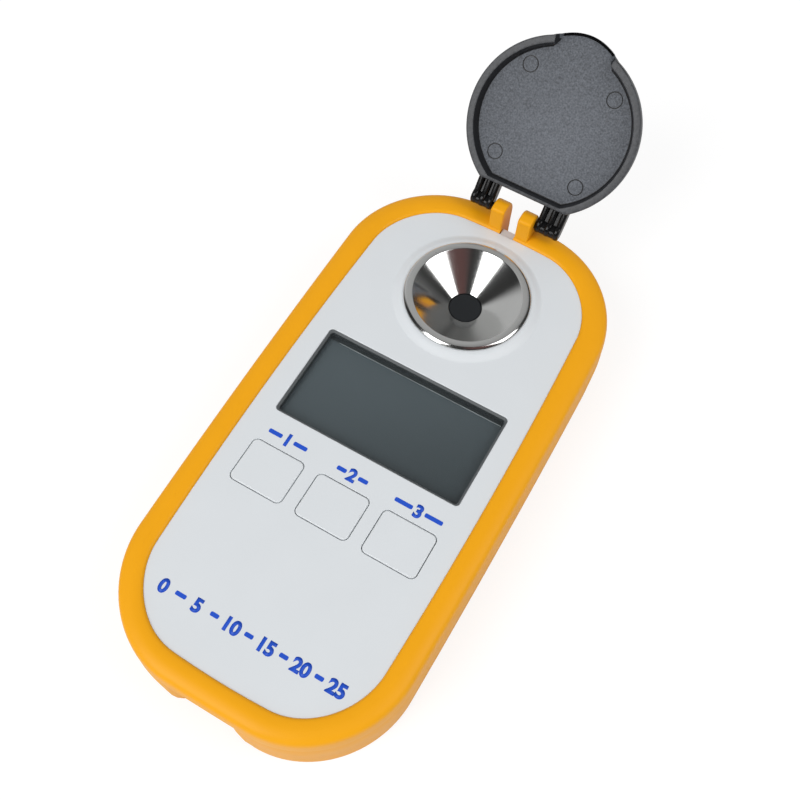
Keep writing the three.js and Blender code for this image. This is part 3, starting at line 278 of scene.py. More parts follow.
SCREW_X, SCREW_Y = measured("case_screw_2")[0][:2]
CASE_SCREWS = [(x, y) for x in (-abs(SCREW_X), abs(SCREW_X)) for y in (-abs(SCREW_Y), abs(SCREW_Y))]
POST_X, POST_Y = measured("board_screw_right")[0][:2]
BOARD_BOTTOM = 1000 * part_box("main_board")[0].z
ROOT = 1.2
BOSS_RADIUS, BOSS_TOP = 4.0, 6.8
HEAD_RADIUS, HEAD_TOP, SHAFT_RADIUS = 2.7, 3.0, 1.5
POST_RADIUS, POST_TOP = 2.1, BOARD_BOTTOM - 0.1
PILOT_RADIUS, PILOT_DEPTH = 0.9, 6.0
BAY_HALF, BAY_TOP = 6.0, BOARD_BOTTOM - 0.3
BAY_WALL, BAY_FLANGE = 1.4, 3.0
BAY_WALL_FOOT = FLOOR - 0.5
BAY_LOW = 1000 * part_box("battery_spring")[0].y - 0.4
BAY_HIGH = 1000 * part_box("battery_contact")[1].y + 0.3
DOOR_END = 1000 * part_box("battery_door")[1].y + 0.3
DOOR_HALF, DOOR_TOP = 6.8, 1.4
GROOVE_HALF, GROOVE_LOW, GROOVE_HIGH = 7.9, 0.8, 2.4
SLOT_FOOT, SLOT_WALL = 9.0, 1.4
CASE_END = CASE_HALF[1]

added = [column(circle(BOSS_RADIUS, x, y), ROOT, BOSS_TOP) for x, y in CASE_SCREWS]
added += [column(circle(POST_RADIUS, x, POST_Y), ROOT, POST_TOP) for x in (-POST_X, POST_X)]
for side in (1, -1):
    for width, low, high in ((BAY_FLANGE, ROOT, FLOOR + 1), (BAY_WALL, BAY_WALL_FOOT, BAY_TOP)):
        left, right = sorted((side * BAY_HALF, side * (BAY_HALF + width)))
        added.append(block((left, BAY_LOW - BAY_WALL, low), (right, BAY_HIGH + BAY_WALL, high)))
for low, high in ((BAY_LOW - BAY_WALL, BAY_LOW), (BAY_HIGH, BAY_HIGH + BAY_WALL)):
    added.append(block((-BAY_HALF, low, ROOT), (BAY_HALF, high, BAY_TOP)))
added.append(block(
    (-LUG_INNER - SLOT_WALL, TONGUE_END - SLOT_WALL, SLOT_FOOT - SLOT_WALL),
    (LUG_INNER + SLOT_WALL, CASE_END - WALL / 2, TRAY_TOP),
))
worked(tray, "UNION", added)
taken = [
    block((-LUG_INNER, TONGUE_END, SLOT_FOOT), (LUG_INNER, CASE_END + OVERRUN, TRAY_TOP + OVERRUN)),
    block((-DOOR_HALF, -CASE_END - OVERRUN, -OVERRUN), (DOOR_HALF, DOOR_END, DOOR_TOP)),
    block((-GROOVE_HALF, -CASE_END - OVERRUN, GROOVE_LOW), (GROOVE_HALF, DOOR_END, GROOVE_HIGH)),
    block((-BAY_HALF, BAY_LOW, 0), (BAY_HALF, BAY_HIGH, FLOOR + OVERRUN)),
]
for x, y in CASE_SCREWS:
    taken.append(column(circle(HEAD_RADIUS, x, y), -OVERRUN, HEAD_TOP))
    taken.append(column(circle(SHAFT_RADIUS, x, y), 0, BOSS_TOP + OVERRUN))
for x in (-POST_X, POST_X):
    taken.append(column(circle(PILOT_RADIUS, x, POST_Y), BOARD_BOTTOM - PILOT_DEPTH, BOARD_BOTTOM + OVERRUN))
worked(tray, "DIFFERENCE", taken)
fitted(tray, "case", [orange_plastic], ["rear_case"])


# Rim: the orange front frame. It rolls over from the seam to a crest and down to the white panel, and
# carries the two hinge lugs. It plugs into the tray with a thin spigot.
PANEL_SHIFT = -0.5
PANEL_HALF = (measured("front_panel")[1][0] / 2, PANEL_SHIFT - 1000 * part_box("front_panel")[0].y)
PANEL_CORNER = 14.0
PANEL_SIDE_BOW, PANEL_END_BOW = 0.06, 0.03
PANEL_GAP = 0.02
LEDGE_TOP, LEDGE_WIDTH = 17.4, 2.0
SPIGOT_OUTER, SPIGOT_INNER, SPIGOT_DEPTH = WALL + 0.3, WALL + 1.3, 2.0
RIM_RISE = 4.95
NOTCH_DROP, NOTCH_LENGTH = 0.7, 2.8


def panel_outline(inset):
    """Outline of the white panel, moved inwards by a distance."""
    half_width, half_length = (half - inset for half in PANEL_HALF)
    corners = [PANEL_CORNER - inset] * 2
    return bowed_outline(half_width, half_length, corners, PANEL_SIDE_BOW, PANEL_END_BOW, PANEL_SHIFT)


def smooth_line(points, steps):
    """Curve through points by Catmull-Rom cubics: each span takes its slopes from the points beside it."""
    points = np.asarray(points, dtype=float)
    padded = np.concatenate([[2 * points[0] - points[1]], points, [2 * points[-1] - points[-2]]])
    before, start, stop, beyond = (padded[k:len(padded) - 3 + k, None] for k in range(4))
    t = np.linspace(0, 1, steps, endpoint=False)[None, :, None]
    spans = 0.5 * (
        2 * start + (stop - before) * t
        + (2 * before - 5 * start + 4 * stop - beyond) * t ** 2
        + (3 * start - before - 3 * stop + beyond) * t ** 3
    )
    return np.concatenate([spans.reshape(-1, points.shape[1]), points[-1:]])


# Each point of the crown has its share of the way from the case's outline to the panel's, and of the rise
crown_shares = smooth_line([
    (0.064, 0.0), (0.054, 0.01), (0.05, 0.025), (0.054, 0.25), (0.07, 0.5), (0.09, 0.66), (0.125, 0.775),
    (0.185, 0.855), (0.29, 0.92), (0.43, 0.967), (0.6, 0.995), (0.78, 0.99), (0.93, 0.958), (1.0, 0.885),
], 4)
rim_rings = []
for share, rise in crown_shares:
    ring = case_outline(0) * (1 - share) + panel_outline(-PANEL_GAP) * share
    rim_rings.append(at_height(ring, SEAM + rise * RIM_RISE))
rim = surface("rim_shell", rim_rings + [
    at_height(panel_outline(-PANEL_GAP), LEDGE_TOP),
    at_height(panel_outline(LEDGE_WIDTH), LEDGE_TOP),
    at_height(panel_outline(LEDGE_WIDTH), SEAM),
    at_height(tray_outline(SPIGOT_INNER), SEAM),
    at_height(tray_outline(SPIGOT_INNER), SEAM - SPIGOT_DEPTH),
    at_height(tray_outline(SPIGOT_OUTER), SEAM - SPIGOT_DEPTH),
    at_height(tray_outline(SPIGOT_OUTER), SEAM),
], joined=True)


def along_x(profile, stations):
    """Solid along X: the profile in Y and Z is repeated at each station, with every side moved inwards by
    the station's inset, so that its ends are rounded. A corner moves along its bisector."""
    profile = np.asarray(profile, dtype=float)
    ahead = np.roll(profile, -1, axis=0) - profile
    ahead /= np.linalg.norm(ahead, axis=1, keepdims=True)
    along = ahead + np.roll(ahead, 1, axis=0)
    inward = 2 * np.column_stack([-along[:, 1], along[:, 0]]) / (along ** 2).sum(axis=1, keepdims=True)
    following = np.roll(profile, -1, axis=0)
    area = (profile[:, 0] * following[:, 1] - profile[:, 1] * following[:, 0]).sum()
    return surface("tool", [
        np.column_stack([np.full(len(profile), x), profile + inward * inset * np.sign(area)])
        for x, inset in stations
    ])


def soft_ends(low, high, radius, steps=5):
    """Stations from one end to the other whose insets round both ends by a quarter circle."""
    turn = np.linspace(0, math.pi / 2, steps)
    near = list(zip(low + radius * (1 - np.cos(turn)), radius * (1 - np.sin(turn))))
    return near + [(low + high - x, inset) for x, inset in near[::-1]]


def arc(y, z, reach, rise, start, stop, steps=14):
    """Points on an ellipse in Y and Z: centre plus reach times cosine and rise times sine."""
    turn = np.radians(np.linspace(start, stop, steps))
    return np.column_stack([y + reach * np.cos(turn), z + rise * np.sin(turn)])


LUG_FRONT, LUG_BACK = HINGE_Y - 3.1, HINGE_Y + 2.4
LUG_FOOT, LUG_TOP = 17.0, HINGE_Z + 3.1
LUG_WIDTH = 3.0
LUG_OUTER = LUG_INNER + LUG_WIDTH
LUG_EDGE = 0.4
DOME_Y, DOME_RISE = LUG_FRONT + 1.7, 5.0
NOSE_RADIUS, NOSE_Z = 0.7, LUG_TOP - 0.8
RIM_BOSS_RADIUS, RIM_BOSS_FOOT = 2.8, 6.9
THREAD_RADIUS, THREAD_TOP = 1.3, 13.5
SLOT_ROOM = 1.7
PIN_BORE, PIN_START, PIN_LENGTH = 0.8, 2.6, 3.2
RIM_BELOW, RIM_ABOVE, RIM_BEYOND = 12, 22, 60

lug_profile = np.concatenate([
    [(LUG_FRONT, LUG_FOOT), (LUG_BACK, LUG_FOOT)],
    arc(DOME_Y, LUG_TOP - DOME_RISE, LUG_BACK - DOME_Y, DOME_RISE, 0, 90),
    arc(LUG_FRONT + NOSE_RADIUS, NOSE_Z, NOSE_RADIUS, NOSE_RADIUS, 90, 180, 7),
])
lugs = [along_x(lug_profile, soft_ends(low, low + LUG_WIDTH, LUG_EDGE)) for low in (-LUG_OUTER, LUG_INNER)]
bosses = [column(circle(RIM_BOSS_RADIUS, x, y), RIM_BOSS_FOOT, LEDGE_TOP) for x, y in CASE_SCREWS]
room = LUG_INNER + SLOT_ROOM
worked(rim, "DIFFERENCE", [
    block((-LUG_INNER, TONGUE_END - NOTCH_LENGTH, FACE - NOTCH_DROP), (LUG_INNER, TONGUE_END, RIM_ABOVE)),
    block((-LUG_INNER, TONGUE_END, RIM_BELOW), (LUG_INNER, RIM_BEYOND, RIM_ABOVE)),
    block((-room, TONGUE_END - SLOT_ROOM, RIM_BELOW), (room, RIM_BEYOND, SEAM)),
])
worked(rim, "UNION", lugs + bosses)
bores = [column(circle(THREAD_RADIUS, x, y), BOSS_TOP, THREAD_TOP) for x, y in CASE_SCREWS]
for low in (-PIN_START - PIN_LENGTH, PIN_START):
    bores.append(along_x(circle(PIN_BORE, HINGE_Y, HINGE_Z, 24), [(low, 0), (low + PIN_LENGTH, 0)]))
worked(rim, "DIFFERENCE", bores)
fitted(rim, "case", [orange_plastic], ["rim_frame"])


# Front panel: the white face, a flat moulding let into the rim, with a soft collar round the well, the
# display opening, three key openings, and a tongue between the hinge lugs.
PANEL_BOTTOM = 17.5
WELL_Y = measured("sample_well")[0][1]
DISPLAY_Y = measured("display_window")[0][1]
WINDOW = measured("display_window")[1][:2] + 0.2
KEY = measured("key_cap_middle")[1][:2] - 2
KEY_NAMES = ("left", "middle", "right")
KEY_PLACES = [measured("key_cap_" + name)[0][:2] for name in KEY_NAMES]
KEY_GAP = 0.15
KEY_CORNER, KEY_LIP = 1.25, 0.1
WINDOW_CORNER, WINDOW_LIP = 0.8, 0.2
COLLAR_FOOT, COLLAR_TOP, COLLAR_INNER = 15.7, 13.3, 12.6
COLLAR_ROOT, COLLAR_LOW, COLLAR_RISE = FACE - 1, FACE - 0.02, 0.72
WELL_HOLE = 13.03
PANEL_EDGE = 0.06
TONGUE_GAP = 0.15
TONGUE_LOW, TONGUE_HIGH = FACE - NOTCH_DROP + 0.1, FACE - 0.35


def rounded_rectangle(width, height, radius, x=0.0, y=0.0, steps=10):
    """Rectangle with quarter circles of a radius at its corners, about a centre."""
    turn = np.linspace(0, math.pi / 2, steps)
    quarter = np.column_stack([np.cos(turn), np.sin(turn)]) * radius
    first = np.array([width / 2 - radius, height / 2 - radius]) + quarter
    second = first[::-1] * [-1, 1]
    return np.concatenate([first, second, -first, -second]) + [x, y]


def opening(width, height, radius, x, y, lip):
    """Cutter of an opening through the panel whose upper edge is rounded by a lip: at the top the outline
    grows by lip times one minus cosine while it rises by lip times sine."""
    turn = np.linspace(0, math.pi / 2, 5)
    grown = np.concatenate([[0], lip * (1 - np.cos(turn)), [lip * 1.02]])
    heights = np.concatenate([[PANEL_BOTTOM - OVERRUN], FACE - lip + lip * np.sin(turn), [FACE + OVERRUN]])
    return surface("tool", [
        at_height(rounded_rectangle(width + 2 * more, height + 2 * more, radius + more, x, y), z)
        for more, z in zip(grown, heights)
    ])


def revolved(name, profile, y=0.0, steps=128):
    """Surface of revolution about an upright axis: each point of the profile, a radius and a height, goes
    round a full circle."""
    return surface(name, [at_height(circle(radius, 0, y, steps), z) for radius, z in profile], joined=True)


white_plastic = finish("white_plastic", (0.70, 0.73, 0.755), 0.42, mottle=0.006, grain_size=0.18)

panel = surface("face_panel", [
    at_height(panel_outline(0), PANEL_BOTTOM),
    *[
        at_height(panel_outline(inset), z)
        for inset, z in rounded_edge(FACE - PANEL_EDGE, PANEL_EDGE, 4, upper=True)
    ],
])
# The collar rises by half a cosine wave from its foot to its top
up = np.linspace(0, 1, 16)
slope_radii = COLLAR_FOOT + (COLLAR_TOP - COLLAR_FOOT) * up
slope_heights = COLLAR_LOW + COLLAR_RISE * (1 - np.cos(np.pi * up)) / 2
tongue_half, tongue_start = LUG_INNER - TONGUE_GAP, TONGUE_END - NOTCH_LENGTH
worked(panel, "UNION", [
    revolved("tool", [
        (COLLAR_FOOT, COLLAR_ROOT), *zip(slope_radii, slope_heights),
        (COLLAR_INNER, COLLAR_LOW + COLLAR_RISE), (COLLAR_INNER, COLLAR_ROOT),
    ], WELL_Y),
    block((-tongue_half, tongue_start, TONGUE_LOW), (tongue_half, TONGUE_END, TONGUE_HIGH)),
])
worked(panel, "DIFFERENCE", [
    column(circle(WELL_HOLE, 0, WELL_Y, 150), PANEL_BOTTOM - OVERRUN, FACE + OVERRUN),
    opening(*WINDOW, WINDOW_CORNER, 0, DISPLAY_Y, WINDOW_LIP),
    *[opening(*(KEY + 2 * KEY_GAP), KEY_CORNER, x, y, KEY_LIP) for x, y in KEY_PLACES],
])
fitted(panel, "case", [white_plastic], ["front_panel"])


# Display: a clear window let into the panel, with a grey liner round its opening, over the grey cell of the
# liquid crystal. The liner's inner wall and a black strip on the cell's upper edge are painted shade;
# below the strip a pale line on the cell is a painted highlight where the edge of the glass catches light.
WINDOW_TOP = 18.9
LCD_TOP, LCD_THICKNESS = 17.3, 1.6
LCD_CORNER = 0.3
LINER_LOW = 17.65
LINER_INSET = 0.46
LINER_GAP = 0.02
LINER_LIP, LINER_TOP = 0.13, FACE - 0.16
LENS_CORNER = 0.6
SHADE_STRIP_EDGE, SHADE_STRIP_WIDTH, SHADE_STRIP_RISE = 1.15, 0.8, 0.03
GLINT_WIDTH, GLINT_RISE = 0.1, 0.2
GLINT_SHORTER, GLINT_X = 2.4, 0.8


def display_outline(inset, radius=WINDOW_CORNER):
    """Outline of the display opening, moved inwards by a distance."""
    return rounded_rectangle(WINDOW[0] - 2 * inset, WINDOW[1] - 2 * inset, radius, 0, DISPLAY_Y)


def face_places(piece):
    """Middles and normals of a piece's faces."""
    faces = piece.data.polygons
    return np.array([face.center for face in faces]), np.array([face.normal for face in faces])


clear_window = bpy.data.materials.new("clear_window")
clear_window.use_nodes = True
nodes, link = clear_window.node_tree.nodes, clear_window.node_tree.links.new
nodes.remove(nodes["Principled BSDF"])
place = nodes.new("ShaderNodeTexCoord")
haze = nodes.new("ShaderNodeTexNoise")
haze.inputs["Scale"].default_value = 180
link(place.outputs["Object"], haze.inputs["Vector"])
tint = nodes.new("ShaderNodeMix")
tint.data_type = "RGBA"
tint.inputs["A"].default_value = (0.95, 0.965, 0.97, 1)
tint.inputs["B"].default_value = (0.965, 0.98, 0.985, 1)
link(haze.outputs["Fac"], tint.inputs["Factor"])
through = nodes.new("ShaderNodeBsdfTransparent")
link(tint.outputs["Result"], through.inputs["Color"])
shine = nodes.new("ShaderNodeBsdfGlossy")
shine.inputs["Roughness"].default_value = 0.05
# Only the outer faces shine: the share that the glass mirrors, less one on the faces that are seen from
# within, is cut off at zero
mirror_share = nodes.new("ShaderNodeFresnel")
mirror_share.inputs["IOR"].default_value = 1.35
side = nodes.new("ShaderNodeNewGeometry")
outer_share = nodes.new("ShaderNodeMath")
outer_share.operation = "MULTIPLY_ADD"
outer_share.inputs[1].default_value = -1
outer_share.use_clamp = True
link(side.outputs["Backfacing"], outer_share.inputs[0])
link(mirror_share.outputs["Fac"], outer_share.inputs[2])
both = nodes.new("ShaderNodeMixShader")
link(outer_share.outputs[0], both.inputs["Fac"])
link(through.outputs["BSDF"], both.inputs[1])
link(shine.outputs["BSDF"], both.inputs[2])
link(both.outputs["Shader"], nodes["Material Output"].inputs["Surface"])

liner_grey = finish("liner_grey", (0.115, 0.125, 0.13), 0.4, mottle=0.05, mottle_size=30, grain=0.02)
# Painted shade: a near-black copy of the liner's grey, for the liner's inner wall and a strip on the cell
liner_painted_shade = finish("liner_painted_shade", (0.038, 0.046, 0.049), 0.5, mottle=0.1, grain=0.02)
# Painted highlight: a pale grey for the strip that stands for light caught by the edge of the glass
painted_glint = finish("painted_glint", (0.30, 0.32, 0.32), 0.3, mottle=0.3, mottle_size=4.0)
cell_grey = finish("cell_grey", (0.065, 0.080, 0.087), 0.3, mottle=0.25, mottle_size=400, grain=0.01)
# Painted reflection: the cell is made lighter towards its upper left corner; a smooth step along that
# direction takes the shade
nodes, link = cell_grey.node_tree.nodes, cell_grey.node_tree.links.new
reflection_slope = nodes.new("ShaderNodeVectorMath")
reflection_slope.operation = "DOT_PRODUCT"
reflection_slope.inputs[1].default_value = (-24, 44, 0)
link(nodes["Texture Coordinate"].outputs["Object"], reflection_slope.inputs[0])
painted_reflection_fade = nodes.new("ShaderNodeMapRange")
painted_reflection_fade.interpolation_type = "SMOOTHSTEP"
painted_reflection_fade.inputs["From Min"].default_value = -0.75
painted_reflection_fade.inputs["From Max"].default_value = 0.75
link(reflection_slope.outputs["Value"], painted_reflection_fade.inputs["Value"])
link(painted_reflection_fade.outputs["Result"], nodes["shade"].inputs["Factor"])

inner = display_outline(LINER_INSET, LENS_CORNER)
lens_outline = display_outline(LINER_INSET + LINER_GAP, LENS_CORNER)
window = column(lens_outline, LINER_LOW + 0.1, WINDOW_TOP)
window.name = "display_lens"
fitted(window, "case", [clear_window], ["display_window"])
liner = surface("display_liner", [
    at_height(outline, height) for outline, height in (
        (inner, LINER_LOW), (display_outline(LINER_GAP), LINER_LOW), (display_outline(LINER_GAP), LINER_TOP),
        (display_outline(LINER_LIP), LINER_TOP), (inner, WINDOW_TOP + 0.05),
    )
], joined=True)
middles, normals = face_places(liner)
# The inner wall, down in the opening, takes the painted shade
inner_wall = (np.abs(normals[:, 2]) < 0.1) & (np.abs(middles[:, 2] - (LINER_LOW + WINDOW_TOP) / 2) < 0.2)
fitted(liner, "case", [liner_grey, liner_painted_shade], [], zones=np.where(inner_wall, 1, 0))
# Painted shade: a black strip along the cell's upper edge, where the liner shades it
edge_width, edge_y = WINDOW[0] - 2 * LINER_INSET, DISPLAY_Y + WINDOW[1] / 2 - SHADE_STRIP_EDGE
shade_strip_outline = rounded_rectangle(edge_width, SHADE_STRIP_WIDTH, 0.05, 0, edge_y + SHADE_STRIP_WIDTH / 2)
shade_strip = column(shade_strip_outline, LCD_TOP, LCD_TOP + SHADE_STRIP_RISE)
shade_strip.name = "display_shade_strip"
fitted(shade_strip, "case", [liner_painted_shade], [])
# Painted highlight: a pale strip on the cell just below the painted shade strip
glint_outline = rounded_rectangle(edge_width - GLINT_SHORTER, GLINT_WIDTH, 0.04, GLINT_X, edge_y - 0.06)
glint = column(glint_outline, LCD_TOP, LCD_TOP + GLINT_RISE)
glint.name = "display_glint"
fitted(glint, "case", [painted_glint], [])
cell_outline = rounded_rectangle(*measured("lcd_glass")[1][:2], LCD_CORNER, 0, DISPLAY_Y)
cell = column(cell_outline, LCD_TOP - LCD_THICKNESS, LCD_TOP)
cell.name = "display_cell"
fitted(cell, "case", [cell_grey], ["lcd_glass"])


# Keys: three white caps in a row, each with a softly rounded edge and a wider flange under the panel that
# keeps it in. They press down on the switches of the board.
FLANGE_LOW, FLANGE_HIGH = 16.6, 17.4
FLANGE_WIDTH = 1.0
CAP_TOP, CAP_EDGE = FACE + 0.1, 0.25
CAP_CORNER = 1.1
for name, (x, y) in zip(KEY_NAMES, KEY_PLACES):
    flange = rounded_rectangle(*(KEY + 2 * FLANGE_WIDTH), CAP_CORNER, x, y)
    cap = surface("cap_" + name, [
        at_height(flange, FLANGE_LOW),
        at_height(flange, FLANGE_HIGH),
        at_height(rounded_rectangle(*KEY, CAP_CORNER, x, y), FLANGE_HIGH + 0.01),
        *[
            at_height(rounded_rectangle(*(KEY - 2 * inset), CAP_CORNER - inset, x, y), z)
            for inset, z in rounded_edge(CAP_TOP - CAP_EDGE, CAP_EDGE, upper=True)
        ],
    ])
    fitted(cap, "key_" + name, [white_plastic], ["key_cap_" + name])


# Printing: blue ink on the face, a thin screen print. Over each key stands its number between two bars, and
# along the bottom end runs a plain row of numbers with a dash between neighbours.
INK_HEIGHT = 0.03
DIGIT_HEIGHT = 2.55
DIGIT_SHARE = 0.73
BOLD_SHARE = 0.066
BAR_CORNER_SHARE = 0.3
KEY_BAR_HEIGHT = 0.85
KEY_PRINT_WIDTHS = (8.4, 6.6, 10.0)
KEY_PRINT_GAP = 2.6
KEY_PRINT_Y = KEY_PLACES[0][1] + 7.2
SCALE_Y = -44.9
SCALE_STEP = 7.1
DASH_HEIGHT, DASH_LENGTH, FIRST_DASH = 0.8, 1.7, 2.2

blue_ink = finish("blue_ink", (0.004, 0.075, 0.58), 0.45, mottle=0.04, mottle_size=2.0)


def numeral(text, height, x, y):
    """A number as a thin raised solid, made bold by a widened outline, about a centre."""
    curve = bpy.data.curves.new("numeral", "FONT")
    curve.body = text
    curve.size = height / DIGIT_SHARE
    curve.offset = height * BOLD_SHARE
    curve.extrude = INK_HEIGHT / 2
    curve.align_x = "CENTER"
    letter = bpy.data.objects.new("numeral", curve)
    bpy.context.collection.objects.link(letter)
    made = bpy.data.meshes.new_from_object(letter.evaluated_get(bpy.context.evaluated_depsgraph_get()))
    bpy.data.objects.remove(letter)
    made.transform(Matrix.Translation((x, y - height / 2, FACE + INK_HEIGHT / 2)))
    return made


def printed(name, numerals, bars):
    """One piece of ink from numbers, each a text with its height and centre, and bars, each a width and a
    height about a centre."""
    parts = [numeral(*entry) for entry in numerals]
    for width, height, x, y in bars:
        outline = rounded_rectangle(width, height, height * BAR_CORNER_SHARE, x, y, 4)
        bar = column(outline, FACE, FACE + INK_HEIGHT)
        parts.append(bar.data)
        bpy.data.objects.remove(bar)
    points, faces = [], []
    for part in parts:
        faces += [[index + len(points) for index in polygon.vertices] for polygon in part.polygons]
        points += [tuple(vertex.co) for vertex in part.vertices]
    mesh = bpy.data.meshes.new(name)
    mesh.from_pydata(points, [], faces)
    ink = bpy.data.objects.new(name, mesh)
    bpy.context.collection.objects.link(ink)
    weld = ink.modifiers.new("weld", "WELD")
    weld.merge_threshold = 0.000002
    fitted(ink, "case", [blue_ink], [])


for name, text, (x, _), width in zip(KEY_NAMES, "123", KEY_PLACES, KEY_PRINT_WIDTHS):
    bar = (width - KEY_PRINT_GAP) / 2
    reach = (KEY_PRINT_GAP + bar) / 2
    bars = [(bar, KEY_BAR_HEIGHT, x + side * reach, KEY_PRINT_Y) for side in (-1, 1)]
    printed("print_" + name, [(text, DIGIT_HEIGHT, x, KEY_PRINT_Y)], bars)
numerals, bars = [], []
for step in range(6):
    x = (step - 2.5) * SCALE_STEP
    numerals.append((str(5 * step), DIGIT_HEIGHT, x, SCALE_Y))
    if step < 5:
        length = DASH_LENGTH if step else FIRST_DASH
        bars.append((length, DASH_HEIGHT, x + SCALE_STEP / 2, SCALE_Y))
printed("print_scale", numerals, bars)


# Steel well: a turned dish that the drop of liquid is put in. Its ring is finely turned, its cone and the
# bevel round the ring are polished, and a flange under the panel holds it. A black seal rims the prism.
WELL_TOP = 1000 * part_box("sample_well")[1].z
MOUTH = 11.2
WELL_RADIUS, RING_OUTER = 13.04, 12.45
FLANGE_RADIUS, WELL_FLANGE_LOW, WELL_FLANGE_HIGH = 14.4, 15.9, 16.5
HUB_RADIUS, HUB_LOW, CONE_START = 5.4, 14.7, 9.0
PRISM_HOLE, CONE_LOW = 3.5, 15.57
# The bevel from the outer wall up to the ring: radii, and drops below the ring
BEVEL = [
    (WELL_RADIUS, 0.48), (13.01, 0.39), (12.955, 0.325), (12.83, 0.22), (12.68, 0.115), (12.53, 0.03),
    (12.49, 0.01), (RING_OUTER, 0),
]


def turned_steel(name, colour, roughness, groove, groove_size):
    """Steel off the lathe: noise that runs along the distance from the middle of the well, at its top, makes
    the bump of fine rings."""
    material = finish(name, colour, roughness, mottle=0.03, Metallic=1.0)
    nodes, link = material.node_tree.nodes, material.node_tree.links.new
    place = nodes.new("ShaderNodeTexCoord")
    from_axis = nodes.new("ShaderNodeVectorMath")
    from_axis.operation = "SUBTRACT"
    from_axis.inputs[1].default_value = (0, WELL_Y / 1000, WELL_TOP / 1000)
    link(place.outputs["Object"], from_axis.inputs[0])
    distance = nodes.new("ShaderNodeVectorMath")
    distance.operation = "LENGTH"
    link(from_axis.outputs[0], distance.inputs[0])
    fine = nodes["fine"]
    fine.noise_dimensions = "1D"
    fine.inputs["Scale"].default_value = 1000 / groove_size
    link(distance.outputs["Value"], fine.inputs["W"])
    bump = nodes["Bump"]
    bump.inputs["Strength"].default_value = groove
    return material


satin_steel = turned_steel("satin_steel", (0.66, 0.665, 0.655), 0.3, 0.12, 0.12)
bright_steel = turned_steel("bright_steel", (0.74, 0.745, 0.735), 0.13, 0.03, 0.2)
seal_black = finish("seal_black", (0.009, 0.010, 0.011), 0.5, mottle=0.1)

well = revolved("steel_well", [
    (PRISM_HOLE, HUB_LOW), (HUB_RADIUS, HUB_LOW), (CONE_START, WELL_FLANGE_LOW),
    (FLANGE_RADIUS, WELL_FLANGE_LOW), (FLANGE_RADIUS, WELL_FLANGE_HIGH), (WELL_RADIUS, WELL_FLANGE_HIGH),
    *[(radius, WELL_TOP - drop) for radius, drop in BEVEL],
    (MOUTH + 0.06, WELL_TOP), (MOUTH, WELL_TOP - 0.02), (MOUTH - 0.08, WELL_TOP - 0.08),
    (PRISM_HOLE + 0.06, CONE_LOW + 0.05), (PRISM_HOLE, CONE_LOW),
], WELL_Y, 192)
middles, _ = face_places(well)
from_axis = np.hypot(middles[:, 0], middles[:, 1] - WELL_Y)
on_top = (middles[:, 2] > WELL_TOP - 0.005) & (from_axis > MOUTH + 0.04)
on_ring = on_top | (from_axis > WELL_RADIUS - 0.07)
on_seal = from_axis < PRISM_HOLE + 0.005
zones = np.select([on_ring, on_seal], [1, 2], 0)
fitted(
    well, "case", [bright_steel, satin_steel, seal_black], ["sample_well"], 20, zones
)


# Lid: a black moulding that stands open. A low wall runs round its textured floor and stops at the thumb
# tab, four ejector marks show on the floor, and two ribbed arms reach to the hinge pins. It is modelled
# closed, and then turned open about the hinge.
LID_RADIUS = 17.77
LID_CHORD = 14.8
ARM_REACH = 4.87
LID_Y = -ARM_REACH - LID_CHORD
LID_RIM = 20.04 - HINGE_Z
LID_FLOOR = LID_RIM + 2
LID_CROWN = 2.2
FAR_SHARE = 0.972
TAB_LENGTH = 1.1
TAB_HALF = 6.9
TAB_SLOT_HALF, TAB_BLEND = 5.5, 0.7
LID_OPEN = math.radians(131.1)


def lid_outline(inset, tab, chord_inset=None):
    """Circle cut by a chord on the hinge side, moved inwards, the chord by a distance of its own. Opposite,
    the radius grows by tab times one minus the square of x over the tab's half width, and all of that half
    is drawn in along Y to the far share."""
    radius = LID_RADIUS - inset
    chord = LID_CHORD - (inset if chord_inset is None else chord_inset)
    half_open = math.acos(chord / radius)
    around = math.pi / 2 + half_open + (2 * math.pi - 2 * half_open) * np.linspace(0, 1, 181)
    x = radius * np.cos(around)
    bump = np.where(np.sin(around) < 0, tab * (1 - np.clip(np.abs(x) / TAB_HALF, 0, 1) ** 2), 0)
    far = np.where(np.sin(around) < 0, FAR_SHARE, 1)
    curve = np.column_stack([x, (radius + bump) * np.sin(around) * far])
    straight = curve[-1] + (curve[0] - curve[-1]) * np.linspace(0, 1, 31)[1:-1, None]
    return np.concatenate([curve, straight])


lid_black = finish(
    "lid_black", (0.014, 0.0145, 0.016), 0.34, mottle=0.15, grain=0.1, grain_size=0.35,
    Specular_IOR_Level=0.3,
)
lid_satin = finish(
    "lid_satin", (0.064, 0.067, 0.073), 0.42, mottle=0.3, mottle_size=0.6, grain=0.3, grain_size=0.35,
    Specular_IOR_Level=0.4,
)
lid_gloss = finish(
    "lid_gloss", (0.006, 0.006, 0.0065), 0.24, mottle=0.15, grain=0.1, grain_size=0.6, Specular_IOR_Level=0.3,
)
lid_grained = finish(
    "lid_grained", (0.119, 0.129, 0.147), 0.6, mottle=0.45, mottle_size=0.36, grain=0.8, grain_size=0.22,
    Specular_IOR_Level=0.35,
)
